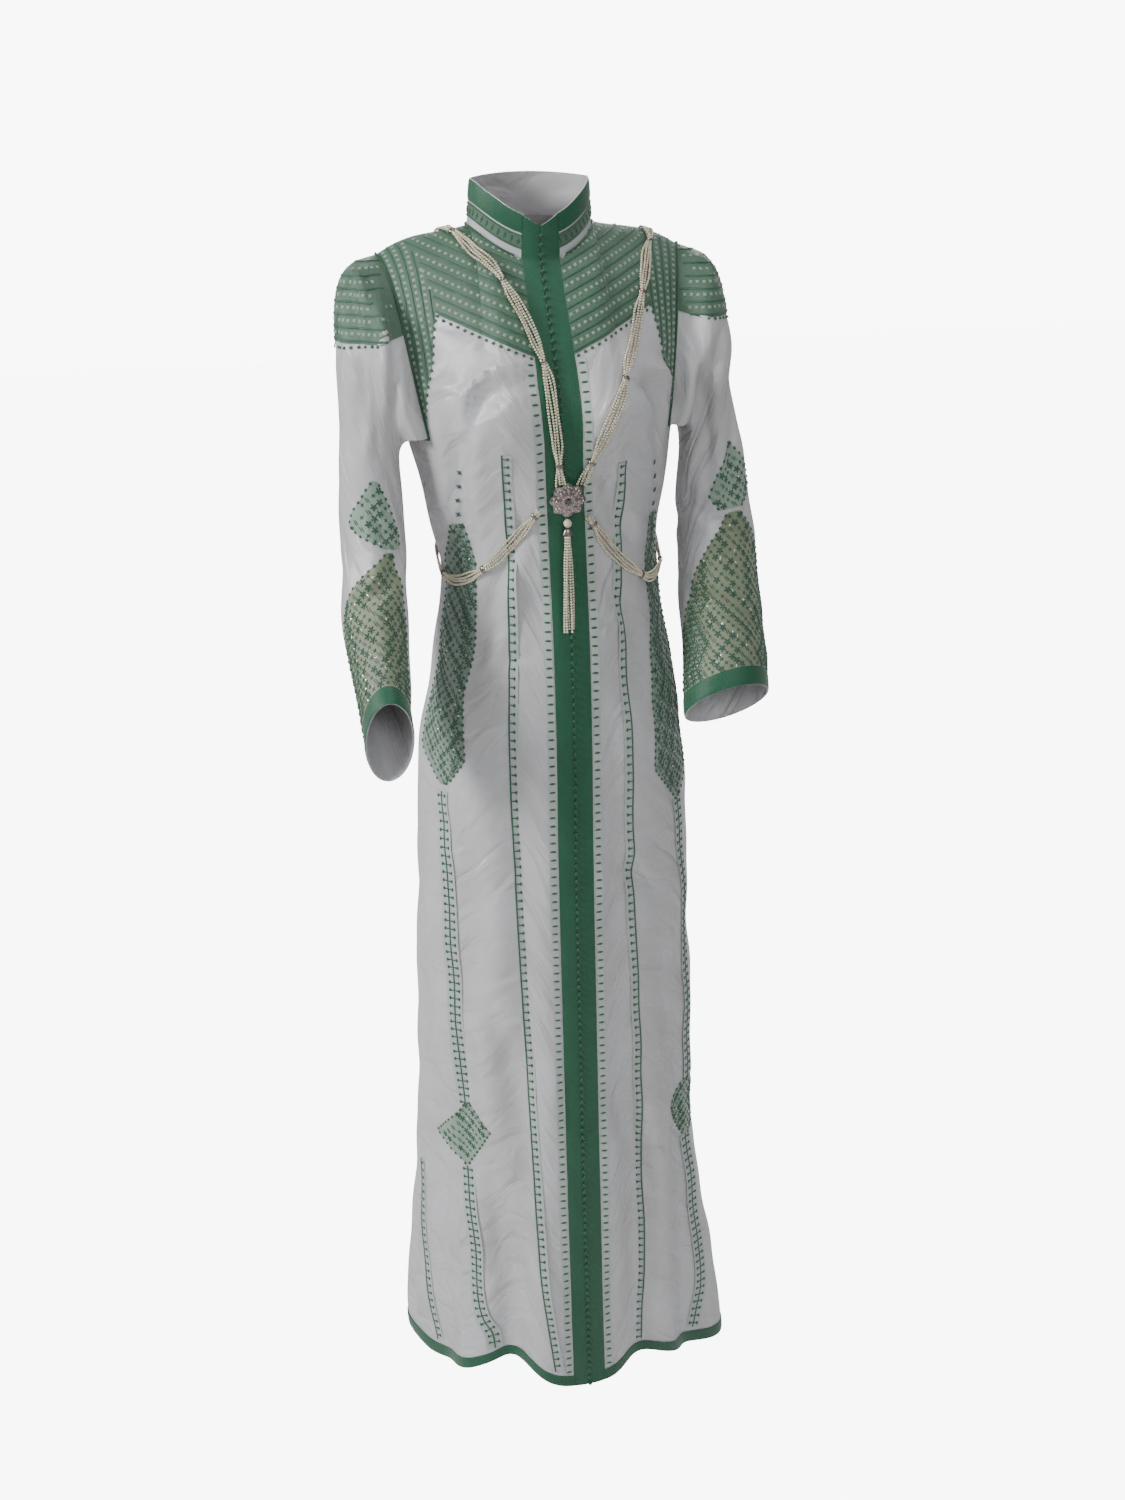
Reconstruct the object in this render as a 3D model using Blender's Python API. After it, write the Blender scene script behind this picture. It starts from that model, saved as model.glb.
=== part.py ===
"""A Moroccan kaftan of white satin with green trim, and the pearl harness belt it is worn with.

Metres, +Z up. The front faces -Y and the wearer's left is at +X. The cloth keeps the hollow form
it has when it is worn. The origin is where the wearer holds it up: midway between the two side
neck points, where the shoulder seams start.

The whole cloth is worked out first as one outer surface of grids that share their edge points:
two fronts, two side panels, two halves of the back, a collar and two sleeves. Each piece is then
a wall on its own grid, and each trim is made from the points of the piece that it lies on, moved
out.
"""

import math
from collections import namedtuple

import bmesh
import bpy
import numpy as np
from mathutils import Vector
from mathutils.bvhtree import BVHTree

# Cloth and trim
CLOTH = 0.0014
SEAM_GAP = 0.00036
SLEEVE_GAP = 0.00095
TRIM = 0.0011
TRIM_LIFT = 0.00032
PLACKET_HALF_WIDTH = 0.0205
HEM_BAND = 0.015
CUFF_BAND = 0.021
COLLAR_HEIGHT = 0.046
COLLAR_BAND = 0.021
PIPING_RADIUS = 0.0013
PIPING_LIFT = 0.0026
KNOT_HALF_WIDTH = 0.0034
KNOT_DEPTH = 0.0016
STRIP_EDGES = (KNOT_HALF_WIDTH, PLACKET_HALF_WIDTH)
SHARP_EDGE = 40

# Pearl harness
STRAND_HALF_WIDTH = 0.0050
STRAND_DEPTH = 0.0046
STRAND_STEP = 0.012
BROOCH_RADIUS = 0.0185
BROOCH_PETALS = 8
PETAL_WAVE = 0.09
BROOCH_DEPTH = 0.006
CLASP_HALF_WIDTH = 0.013
CLASP_HALF_HEIGHT = 0.008
CLASP_DEPTH = 0.005
PLATE_STEPS = 40
BEAD_RADIUS = 0.0046
TASSEL_STRANDS = 4
TASSEL_STRAND_WIDTH = 0.0020
TASSEL_HEAD = 0.008
TASSEL_HEAD_NARROWING = 0.6
TASSEL_LENGTH = 0.112
OVER_CLOTH = 0.0021
BELT_OVER_CLOTH = 0.0015
CLASP_LIFT = 0.0011
OVER_SHOULDER = 0.0032
OVER_PLACKET = 0.0029
OVER_KNOTS = 0.0046
BROOCH_LIFT = 0.0048

# Heights, from the side neck points
UNDERARM = -0.212
HEM = -1.412

# Neck and shoulder
NECK_HALF_WIDTH = 0.067
NECK_FRONT = (-0.060, -0.034)
NECK_BACK = (0.050, 0.004)
SHOULDER = (0.165, 0.004, -0.028)
SHOULDER_ROUND = 0.011
COLLAR_LEAN_IN = 0.004
COLLAR_FRONT_DROPS = (0.011, 0.0095, 0.0025)

# Seams between front, side and back, as angles round the body from the centre front
FRONT_SEAM_TOP, FRONT_SEAM_HEM = 61.0, 55.0
BACK_SEAM_TOP, BACK_SEAM_HEM = 110.0, 86.0

# Steps of the grids
FRONT_STEPS, SIDE_STEPS, BACK_STEPS = 10, 4, 10
NECK_STEPS = 4
YOKE_ROWS, SKIRT_ROWS = 9, 23

Section = namedtuple("Section", "height centre half_width front back squareness")
BODY = (
    Section(-0.212, 0.005, 0.149, 0.128, 0.088, 2.2),
    Section(-0.290, 0.010, 0.135, 0.116, 0.078, 2.1),
    Section(-0.370, 0.014, 0.125, 0.109, 0.072, 2.0),
    Section(-0.450, 0.015, 0.134, 0.114, 0.092, 2.0),
    Section(-0.550, 0.014, 0.151, 0.124, 0.112, 2.1),
    Section(-0.680, 0.012, 0.163, 0.132, 0.116, 2.1),
    Section(-0.900, 0.012, 0.170, 0.140, 0.114, 2.1),
    Section(-1.120, 0.012, 0.175, 0.150, 0.120, 2.1),
    Section(-1.290, 0.012, 0.184, 0.160, 0.128, 2.1),
    Section(-1.412, 0.012, 0.192, 0.168, 0.134, 2.1),
)

Fold = namedtuple("Fold", "angle_top angle_hem starts depth width")
SKIRT_FOLDS = (
    Fold(26, 22, -0.78, -0.014, 9),
    Fold(44, 40, -0.70, 0.010, 10),
    Fold(54, 46, -0.74, -0.010, 8),
    Fold(72, 68, -1.10, 0.026, 13),
    Fold(92, 90, -0.80, -0.008, 10),
    Fold(108, 108, -0.60, -0.018, 12),
    Fold(132, 130, -0.58, 0.020, 11),
    Fold(156, 155, -0.55, -0.020, 11),
    Fold(180, 180, -0.60, 0.016, 10),
    Fold(-156, -154, -0.56, -0.020, 11),
    Fold(-130, -128, -0.58, 0.018, 12),
    Fold(-102, -96, -0.80, 0.016, 12),
    Fold(-76, -66, -0.80, -0.012, 10),
    Fold(-48, -30, -0.85, -0.018, 10),
    Fold(-20, -14, -0.90, 0.008, 9),
)

# How far the hem hangs above or below its level at the centre front
HemWave = namedtuple("HemWave", "angle lift width")
HEM_WAVES = (
    HemWave(-30, 0.034, 17),
    HemWave(24, 0.018, 14),
    HemWave(70, -0.024, 20),
    HemWave(-74, -0.012, 14),
    HemWave(180, -0.006, 60),
)

Bump = namedtuple("Bump", "x height out spread_x spread_z")
CUPS = (
    Bump(0.066, -0.190, 0.017, 0.042, 0.050),
    Bump(-0.066, -0.190, 0.017, 0.042, 0.050),
)

# The outline of a plate from its foot to its top
Layer = namedtuple("Layer", "rise size")
PLATE_LAYERS = (Layer(0.0, 0.94), Layer(0.35, 1.0), Layer(0.7, 0.82), Layer(1.0, 0.42))

# Cuts through the long trims, as shares of their half width and depth
BAND_PROFILE = ((-1, 0.25), (-0.72, 0), (0.72, 0), (1, 0.25), (0.5, 1), (-0.5, 1))
CORD_PROFILE = ((-1, 0.5), (0, 0), (1, 0.5), (0, 1))

Ring = namedtuple("Ring", "under_x under_z top_x top_z middle_y half_depth tilt")
LEFT_SLEEVE = (
    Ring(0.158, -0.2135, 0.186, -0.038, -0.021, 0.061, 0),
    Ring(0.162, -0.2160, 0.202, -0.061, -0.021, 0.060, 0),
    Ring(0.165, -0.2210, 0.213, -0.092, -0.021, 0.058, 0),
    Ring(0.166, -0.230, 0.217, -0.142, -0.022, 0.056, 0),
    Ring(0.166, -0.245, 0.222, -0.197, -0.023, 0.053, 0),
    Ring(0.164, -0.275, 0.231, -0.255, -0.026, 0.051, 3),
    Ring(0.161, -0.320, 0.240, -0.308, -0.032, 0.050, 7),
    Ring(0.158, -0.363, 0.246, -0.355, -0.041, 0.050, 12),
    Ring(0.156, -0.404, 0.249, -0.397, -0.053, 0.050, 19),
    Ring(0.154, -0.443, 0.250, -0.434, -0.067, 0.050, 26),
    Ring(0.151, -0.481, 0.248, -0.468, -0.083, 0.050, 34),
    Ring(0.148, -0.517, 0.246, -0.499, -0.101, 0.049, 42),
)
RIGHT_SLEEVE = (
    Ring(0.148, -0.2135, 0.187, -0.033, -0.021, 0.061, 0),
    Ring(0.152, -0.2160, 0.204, -0.055, -0.021, 0.060, 0),
    Ring(0.155, -0.2210, 0.213, -0.092, -0.021, 0.058, 0),
    Ring(0.157, -0.230, 0.216, -0.142, -0.022, 0.056, 0),
    Ring(0.157, -0.245, 0.218, -0.197, -0.023, 0.053, 0),
    Ring(0.156, -0.275, 0.221, -0.257, -0.026, 0.051, 3),
    Ring(0.155, -0.320, 0.224, -0.311, -0.034, 0.050, 9),
    Ring(0.156, -0.362, 0.228, -0.360, -0.047, 0.050, 19),
    Ring(0.158, -0.402, 0.231, -0.402, -0.065, 0.051, 32),
    Ring(0.161, -0.438, 0.230, -0.438, -0.087, 0.052, 46),
    Ring(0.166, -0.472, 0.227, -0.471, -0.115, 0.053, 60),
    Ring(0.171, -0.503, 0.223, -0.502, -0.147, 0.053, 72),
)

# The harness's way over the cloth: straight lines in front and back views, as x and height, from
# the centre back clasp to the brooch. From is the side that the cloth is looked at from.
Station = namedtuple("Station", "side x height lift")
BROOCH_AT = (0.010, -0.274)
CLASP_AT = (0.006, -0.330)
RIGHT_STRAP = (
    Station("back", -0.008, -0.318, OVER_CLOTH),
    Station("back", -0.036, -0.240, OVER_CLOTH),
    Station("back", -0.064, -0.150, OVER_CLOTH),
    Station("back", -0.084, -0.070, OVER_CLOTH),
    Station("top", -0.0940, 0.030, OVER_CLOTH),
    Station("top", -0.0930, 0.004, OVER_SHOULDER),
    Station("front", -0.0820, -0.0110, OVER_SHOULDER),
    Station("front", -0.0620, -0.0290, OVER_SHOULDER),
    Station("front", -0.0420, -0.0564, OVER_CLOTH),
    Station("front", -0.0246, -0.0948, OVER_PLACKET),
    Station("front", -0.0110, -0.1354, OVER_PLACKET),
    Station("front", -0.0060, -0.1875, OVER_KNOTS),
    Station("front", 0.0010, -0.2520, OVER_KNOTS),
)
LEFT_STRAP = (
    Station("back", 0.020, -0.318, OVER_CLOTH),
    Station("back", 0.052, -0.240, OVER_CLOTH),
    Station("back", 0.082, -0.150, OVER_CLOTH),
    Station("back", 0.106, -0.070, OVER_CLOTH),
    Station("top", 0.1260, 0.030, OVER_CLOTH),
    Station("top", 0.1290, 0.004, OVER_CLOTH),
    Station("front", 0.1279, -0.0215, OVER_CLOTH),
    Station("front", 0.1215, -0.0300, OVER_CLOTH),
    Station("front", 0.1122, -0.0540, OVER_CLOTH),
    Station("front", 0.1026, -0.0795, OVER_CLOTH),
    Station("front", 0.0886, -0.1152, OVER_CLOTH),
    Station("front", 0.0703, -0.1547, OVER_CLOTH),
    Station("front", 0.0494, -0.2002, OVER_CLOTH),
    Station("front", 0.0280, -0.2540, OVER_PLACKET),
)
Turn = namedtuple("Turn", "angle height lift")
RIGHT_BELT = (
    Turn(-13, -0.289, OVER_PLACKET),
    Turn(-24, -0.318, BELT_OVER_CLOTH),
    Turn(-44, -0.356, BELT_OVER_CLOTH),
    Turn(-58, -0.372, BELT_OVER_CLOTH),
    Turn(-72, -0.376, BELT_OVER_CLOTH),
    Turn(-86, -0.364, BELT_OVER_CLOTH),
    Turn(-105, -0.350, BELT_OVER_CLOTH),
    Turn(-130, -0.341, BELT_OVER_CLOTH),
    Turn(-155, -0.336, BELT_OVER_CLOTH),
    Turn(-169, -0.334, BELT_OVER_CLOTH),
)
LEFT_BELT = (
    Turn(11, -0.300, OVER_PLACKET),
    Turn(22, -0.336, BELT_OVER_CLOTH),
    Turn(38, -0.368, BELT_OVER_CLOTH),
    Turn(55, -0.384, BELT_OVER_CLOTH),
    Turn(72, -0.380, BELT_OVER_CLOTH),
    Turn(88, -0.366, BELT_OVER_CLOTH),
    Turn(105, -0.350, BELT_OVER_CLOTH),
    Turn(130, -0.341, BELT_OVER_CLOTH),
    Turn(155, -0.336, BELT_OVER_CLOTH),
    Turn(169, -0.334, BELT_OVER_CLOTH),
)

Look = namedtuple("Look", "colour roughness metallic")
SATIN = Look((0.62, 0.61, 0.62, 1.0), 0.35, 0.0)
GREEN = Look((0.045, 0.170, 0.100, 1.0), 0.6, 0.0)
PEARL = Look((0.72, 0.70, 0.60, 1.0), 0.25, 0.0)
CRYSTAL = Look((0.55, 0.52, 0.48, 1.0), 0.2, 0.8)


def smoothstep(value):
    """0 below 0, 1 above 1, with a smooth rise between."""
    t = np.clip(value, 0.0, 1.0)
    return t * t * (3 - 2 * t)


def smooth_column(table, column, height):
    """A column of a table read at any height, on a cubic curve that keeps the rows' own trend."""
    heights = np.array([row.height for row in table])[::-1]
    values = np.array([getattr(row, column) for row in table])[::-1]
    slopes = np.gradient(values, heights)
    height = np.clip(height, heights[0], heights[-1])
    i = np.clip(np.searchsorted(heights, height) - 1, 0, len(heights) - 2)
    span = heights[i + 1] - heights[i]
    t = (height - heights[i]) / span
    return (
        values[i] * (1 + 2 * t) * (1 - t) ** 2
        + slopes[i] * span * t * (1 - t) ** 2
        + values[i + 1] * t * t * (3 - 2 * t)
        + slopes[i + 1] * span * t * t * (t - 1)
    )


def signed_power(value, power):
    return np.sign(value) * np.abs(value) ** power


def body_point(angle, height):
    """The cloth's outer point below the underarm: a squared ellipse, with folds that deepen to the hem."""
    height += hem_wave(angle) * ((UNDERARM - height) / (UNDERARM - HEM)) ** 5
    half_width = smooth_column(BODY, "half_width", height)
    front = smooth_column(BODY, "front", height)
    back = smooth_column(BODY, "back", height)
    power = 2 / smooth_column(BODY, "squareness", height)
    s, c = math.sin(math.radians(angle)), math.cos(math.radians(angle))
    depth = front if c > 0 else back
    across = smooth_column(BODY, "centre", height) + half_width * signed_power(s, power)
    point = np.array([across, -depth * signed_power(c, power), height])
    outward = np.array([s / half_width, -c / depth, 0.0])
    point += outward / np.linalg.norm(outward) * skirt_fold(angle, height)
    return point + cup(point)


def turn_between(angle, other):
    """The difference of two angles, from -180 to 180 degrees."""
    return (angle - other + 180) % 360 - 180


def hem_wave(angle):
    return sum(
        wave.lift * math.exp(-((turn_between(angle, wave.angle) / wave.width) ** 2)) for wave in HEM_WAVES
    )


def skirt_fold(angle, height):
    """How far the folds move the cloth out at this place."""
    moved = 0.0
    for fold in SKIRT_FOLDS:
        share = (fold.starts - height) / (fold.starts - HEM)
        centre = fold.angle_top + (fold.angle_hem - fold.angle_top) * np.clip(share, 0, 1)
        moved += fold.depth * smoothstep(share) * math.exp(-((turn_between(angle, centre) / fold.width) ** 2))
    return moved


def cup(point):
    """The bust's fullness in the fronts, as a move forwards."""
    out = 0.0
    for bump in CUPS:
        out += bump.out * math.exp(
            -(((point[0] - bump.x) / bump.spread_x) ** 2)
            - ((point[2] - bump.height) / bump.spread_z) ** 2
        )
    return np.array([0.0, -out if point[1] < 0 else 0.0, 0.0])


def column_angles(height, side):
    """The angles of the grid's columns at a height, from the centre front round to the centre back."""
    share = ((UNDERARM - height) / (UNDERARM - HEM)) ** 0.6
    front_seam = FRONT_SEAM_TOP + (FRONT_SEAM_HEM - FRONT_SEAM_TOP) * share
    back_seam = BACK_SEAM_TOP + (BACK_SEAM_HEM - BACK_SEAM_TOP) * share
    half_width = smooth_column(BODY, "half_width", height)
    power = smooth_column(BODY, "squareness", height) / 2
    knot, placket = (math.degrees(math.asin((width / half_width) ** power)) for width in STRIP_EDGES)
    front = np.concatenate([[0.0, knot], np.linspace(placket, front_seam, FRONT_STEPS)])
    sides = np.linspace(front_seam, back_seam, SIDE_STEPS + 1)
    back = np.linspace(back_seam, 180.0, BACK_STEPS + 1)
    return [side * part for part in (front, sides, back)]


def neck_point(share, front):
    """A point of the neckline, from the centre (share 0) to the side neck point (share 1)."""
    y, z = NECK_FRONT if front else NECK_BACK
    quarter = share * math.pi / 2
    return np.array([NECK_HALF_WIDTH * math.sin(quarter), y * math.cos(quarter), z * math.cos(quarter) ** 2])


def top_edge(front):
    """The neckline and then the shoulder seam, from the centre out, for the side at +X."""
    shares = np.linspace(0.0, 1.0, NECK_STEPS + 1)
    if front:
        knot, placket = (math.asin(width / NECK_HALF_WIDTH) / (math.pi / 2) for width in STRIP_EDGES)
        shares = np.concatenate([[0.0, knot], np.linspace(placket, 1.0, NECK_STEPS)])
    edge = [neck_point(share, front) for share in shares]
    side_neck, shoulder = edge[-1], np.array(SHOULDER)
    seam_steps = FRONT_STEPS - NECK_STEPS
    for step in range(1, seam_steps + 1):
        t = step / seam_steps
        point = side_neck * (1 - t) + shoulder * t
        point[2] += SHOULDER_ROUND * math.sin(math.pi * t) * t
        edge.append(point)
    return np.array(edge)


def yoke_column(start, end, below, lead):
    """The column from the top edge to the underarm row: a cubic curve that leaves forwards or
    backwards by lead and arrives along the cloth below."""
    upward = (end - below) / np.linalg.norm(end - below)
    drop = np.linalg.norm(end - start)
    points = []
    for row in range(YOKE_ROWS + 1):
        t = row / YOKE_ROWS
        points.append(
            start * (1 - t) ** 3
            + 3 * (start + lead) * t * (1 - t) ** 2
            + 3 * (end + upward * drop * 0.36) * t * t * (1 - t)
            + end * t**3
        )
    return points


def yoke_grid(angles, side, front):
    """The part of a front or half back above the underarm, as rows of points from the centre out."""
    mirror = np.array([side, 1.0, 1.0])
    edge = top_edge(front) * mirror
    columns = []
    for i, angle in enumerate(angles):
        out = i / (len(angles) - 1)
        over = smoothstep((i - 1) / (NECK_STEPS + 1))
        if front:
            lead = np.array([0.0, -0.018 - 0.034 * over, -0.040 + 0.028 * over])
            lead[0] = -side * 0.012 * out
        else:
            lead = np.array([-side * 0.006 * out, 0.020 + 0.026 * over, -0.030 + 0.020 * over])
        end = body_point(angle, UNDERARM)
        end_flat = end - cup(end)
        below = body_point(angle, UNDERARM - 0.01)
        below_flat = below - cup(below)
        column = yoke_column(edge[i], end_flat, below_flat, lead)
        if front:
            column = [point + cup(point) for point in column[:-1]] + [end]
        columns.append(column)
    return np.array(columns).transpose(1, 0, 2)


def skirt_heights():
    """The rows below the underarm, with a last short row that is the hem band's upper edge."""
    rows = np.linspace(UNDERARM, HEM + HEM_BAND, SKIRT_ROWS)
    return np.append(rows, HEM)


def body_grids(side):
    """The front, side panel and half back of one side, as grids of points from top to hem."""
    heights = skirt_heights()
    parts = [column_angles(height, side) for height in heights]
    skirt = [
        np.array([[body_point(angle, height) for angle in row[k]] for row, height in zip(parts, heights)])
        for k in range(3)
    ]
    front_yoke = yoke_grid(parts[0][0], side, True)
    back_yoke = yoke_grid(parts[0][2][::-1], side, False)[:, ::-1]
    front = np.concatenate([front_yoke[:-1], skirt[0]])
    back = np.concatenate([back_yoke[:-1], skirt[2]])
    return front, skirt[1], back


def armhole(front, side_panel, back):
    """The closed loop that the sleeve is sewn to: down the front, across the side panel, up the back."""
    down = front[: YOKE_ROWS + 1, -1]
    across = side_panel[0]
    up = back[: YOKE_ROWS + 1, 0][::-1]
    return np.concatenate([down, across[1:], up[1:]])


def ring_axes(ring, side):
    """The centre of a sleeve ring, and its directions to the front and to the outer or top side."""
    under = np.array([side * ring.under_x, ring.middle_y, ring.under_z])
    top = np.array([side * ring.top_x, ring.middle_y, ring.top_z])
    outer = (top - under) / np.linalg.norm(top - under)
    tilt = math.radians(ring.tilt)
    ahead = np.array([0.0, -math.cos(tilt), math.sin(tilt)])
    ahead -= outer * (ahead @ outer)
    return (under + top) / 2, ahead / np.linalg.norm(ahead), outer, np.linalg.norm(top - under) / 2


def sleeve_grid(loop, rings, side):
    """Rows of points from the armhole to the cuff. The first rings keep the armhole's own shape,
    which changes into an ellipse by the upper arm."""
    centre = (loop[0] + loop[len(loop) // 2]) / 2
    top = loop[0] - centre
    outer = top / np.linalg.norm(top)
    ahead = np.array([0.0, -1.0, 0.0])
    ahead -= outer * (ahead @ outer)
    ahead /= np.linalg.norm(ahead)
    through = np.cross(ahead, outer)
    local = (loop - centre) @ np.array([ahead, outer, through]).T
    local -= (local.max(0) + local.min(0)) / 2
    turn = np.arctan2(local[:, 1], local[:, 0])
    reach = local.max(0)
    grid = [loop]
    for number, ring in enumerate(rings, 1):
        middle, front, out, half = ring_axes(ring, side)
        own = smoothstep(1 - number / 6)
        across = ring.half_depth * (own * local[:, 0] / reach[0] + (1 - own) * np.cos(turn))
        upward = half * (own * local[:, 1] / reach[1] + (1 - own) * np.sin(turn))
        off = local[:, 2] * own * own
        ring_points = middle + np.outer(across, front) + np.outer(upward, out)
        grid.append(ring_points + np.outer(off, np.cross(front, out)))
    last = np.array(grid[-1])
    along = last - grid[-2]
    along = along.mean(0) / np.linalg.norm(along.mean(0))
    grid.append(last + along * CUFF_BAND)
    return np.array(grid)


def collar_grid(fronts, backs):
    """The stand collar round the neckline, from the wearer's right front edge to the left one.
    Its rows are its top edge, the band's lower edge and the neckline."""
    base = np.concatenate(
        [
            fronts[-1][0, : NECK_STEPS + 2],
            backs[-1][0, BACK_STEPS - NECK_STEPS + 1 :],
            backs[1][0, BACK_STEPS - NECK_STEPS : -1][::-1],
            fronts[1][0, : NECK_STEPS + 1][::-1],
        ]
    )
    middle = np.array([0.0, (NECK_FRONT[0] + NECK_BACK[0]) / 2, 0.0])
    rows = []
    for lift in (COLLAR_HEIGHT, COLLAR_HEIGHT - COLLAR_BAND, 0.0):
        inward = (middle - base) * [1, 1, 0]
        inward /= np.linalg.norm(inward, axis=1)[:, None]
        row = base + inward * COLLAR_LEAN_IN * lift / COLLAR_HEIGHT
        row[:, 2] += lift
        row[:, 1] -= 0.10 * lift
        rows.append(row)
    for column, drop in enumerate(COLLAR_FRONT_DROPS):
        rows[0][[column, -1 - column], 2] -= drop
    return np.array(rows)


def quads_out(grid, outward):
    """Corner numbers of a grid's quads, turned so that their faces look outward."""
    rows, columns = grid.shape[:2]
    number = np.arange(rows * columns).reshape(rows, columns)
    a, b, c, d = number[:-1, :-1], number[1:, :-1], number[1:, 1:], number[:-1, 1:]
    order = (a, b, c, d) if outward > 0 else (a, d, c, b)
    return np.stack([corner.ravel() for corner in order], axis=1)


def shared_normals(grids):
    """For each grid, its points' normals, summed over the faces of every grid that meets there."""
    total = {}
    keys = {}
    for name, (grid, outward) in grids.items():
        points = grid.reshape(-1, 3)
        keys[name] = [tuple(key) for key in np.round(points * 1e6).astype(int)]
        for quad in quads_out(grid, outward):
            corners = points[quad]
            normal = np.cross(corners[2] - corners[0], corners[3] - corners[1])
            for corner in quad:
                key = keys[name][corner]
                total[key] = total.get(key, 0) + normal
    normals = {}
    for name, (grid, _) in grids.items():
        rows = np.array([total[key] for key in keys[name]])
        rows /= np.linalg.norm(rows, axis=1)[:, None]
        normals[name] = rows.reshape(grid.shape)
    return normals


def inset(points, gap, closed=False):
    """The grid's points, with those on its edges moved into it along its own lines."""
    moved = points.copy()
    for axis in (0, 1):
        if axis == 1 and closed:
            continue
        first = np.moveaxis(moved, axis, 0)
        source = np.moveaxis(points, axis, 0)
        for edge, near in ((0, 1), (-1, -2)):
            way = source[near] - source[edge]
            first[edge] += way / np.linalg.norm(way, axis=-1, keepdims=True) * gap
    return moved


def wall(name, points, normals, outward, low, high, look, closed=False, gap=SEAM_GAP / 2):
    """A closed solid between two copies of a grid, moved along its normals by low and by high.
    A closed grid's last column is its first one again. Each square is halved the same way, so that
    a trim stays even over the cloth that it is made from."""
    points = inset(points, gap, closed)
    rows, columns = points.shape[:2]
    sheets = [(points + normals * lift).reshape(-1, 3) for lift in (high, low)]
    number = np.arange(rows * columns).reshape(rows, columns)
    if closed:
        number[:, -1] = number[:, 0]
    a, b, c, d = number[:-1, :-1], number[1:, :-1], number[1:, 1:], number[:-1, 1:]
    halves = ((a, b, c), (a, c, d)) if outward > 0 else ((a, c, b), (a, d, c))
    outside = np.concatenate([np.stack([corner.ravel() for corner in half], axis=1) for half in halves])
    size = rows * columns
    faces = [tuple(face) for face in outside]
    faces += [tuple(face[::-1] + size) for face in outside]
    edges = [number[0], number[-1][::-1]]
    if not closed:
        edges += [number[:, 0][::-1], number[:, -1]]
    for edge in edges:
        for i, j in zip(edge[:-1], edge[1:]):
            rim = (i, j, j + size, i + size)
            faces.append(rim if outward > 0 else rim[::-1])
    return make_object(name, np.concatenate(sheets), faces, look)


def make_object(name, points, faces, look):
    """A mesh object, without the points that none of its faces use."""
    mesh = bpy.data.meshes.new(name)
    mesh.from_pydata([tuple(point) for point in points], [], [tuple(int(i) for i in face) for face in faces])
    work = bmesh.new()
    work.from_mesh(mesh)
    bmesh.ops.delete(work, geom=[v for v in work.verts if not v.link_faces], context="VERTS")
    mesh.validate()
    return add_object(name, work, mesh, look)


def add_object(name, work, mesh, look):
    """Puts finished work into its mesh, and the mesh into the scene with a material of its own."""
    work.to_mesh(mesh)
    work.free()
    mesh.shade_smooth()
    mesh.set_sharp_from_angle(angle=math.radians(SHARP_EDGE))
    mesh.materials.append(make_material(name, look))
    made = bpy.data.objects.new(name, mesh)
    bpy.context.scene.collection.objects.link(made)
    return made


def make_material(name, look):
    material = bpy.data.materials.new(name)
    material.use_nodes = True
    shader = material.node_tree.nodes["Principled BSDF"]
    shader.inputs["Base Color"].default_value = look.colour
    shader.inputs["Roughness"].default_value = look.roughness
    shader.inputs["Metallic"].default_value = look.metallic
    return material


def cloth_surface():
    """Every grid of the garment's outer surface by name, with the turn that makes it face outward."""
    grids = {}
    fronts, backs = {}, {}
    for side, word in ((1, "left"), (-1, "right")):
        front, panel, back = body_grids(side)
        fronts[side], backs[side] = front, back
        grids["front_" + word] = (front, side)
        grids["side_" + word] = (panel, side)
        grids["back_" + word] = (back, side)
        loop = armhole(front, panel, back)
        rings = LEFT_SLEEVE if side > 0 else RIGHT_SLEEVE
        grids["sleeve_" + word] = (sleeve_grid(loop, rings, side), -side)
    grids["collar"] = (collar_grid(fronts, backs), -1)
    return grids


def join_columns(*grids):
    """Grids side by side, each starting on the column that the one before it ends on."""
    return np.concatenate([grids[0]] + [grid[:, 1:] for grid in grids[1:]], axis=1)


def round_body(parts, rows, trim):
    """The body's rows from one front's centre round the back to the other's, less trim columns at
    each end."""
    right = [parts["front_right"], parts["side_right"], parts["back_right"]]
    left = [parts["back_left"], parts["side_left"], parts["front_left"]]
    whole = join_columns(*[part[rows] for part in right], *[part[rows][:, ::-1] for part in left])
    return whole[:, trim : whole.shape[1] - trim]


def tube(name, points, across, outward, half_width, depth, look, profile):
    """A closed solid along points, lying on their outward side, with the profile as its cut."""
    count, sides = len(points), len(profile)
    ring = np.array(profile)
    corners = (
        points[:, None]
        + across[:, None] * (ring[:, 0] * half_width)[None, :, None]
        + outward[:, None] * (ring[:, 1] * depth)[None, :, None]
    )
    faces = []
    for i in range(count - 1):
        for k in range(sides):
            m = (k + 1) % sides
            faces.append((i * sides + k, i * sides + m, (i + 1) * sides + m, (i + 1) * sides + k))
    faces.append(tuple(range(sides))[::-1])
    faces.append(tuple((count - 1) * sides + k for k in range(sides)))
    return make_object(name, corners.reshape(-1, 3), faces, look)


def piping(name, points, normals, look):
    """A thin round edge along a seam, on the outside of the cloth."""
    along = np.gradient(points, axis=0)
    across = np.cross(normals, along)
    across /= np.linalg.norm(across, axis=1)[:, None]
    low = points + normals * (PIPING_LIFT - PIPING_RADIUS)
    return tube(name, low, across, normals, PIPING_RADIUS, 2 * PIPING_RADIUS, look, CORD_PROFILE)


def cloth_tree(grids):
    """The outer surface without the sleeves, to be looked at from any side."""
    points, faces = [], []
    for name, (grid, outward) in grids.items():
        if not name.startswith("sleeve"):
            faces += [tuple(int(i) + len(points) for i in quad) for quad in quads_out(grid, outward)]
            points += [Vector(point) for point in grid.reshape(-1, 3)]
    return BVHTree.FromPolygons(points, faces)


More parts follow.
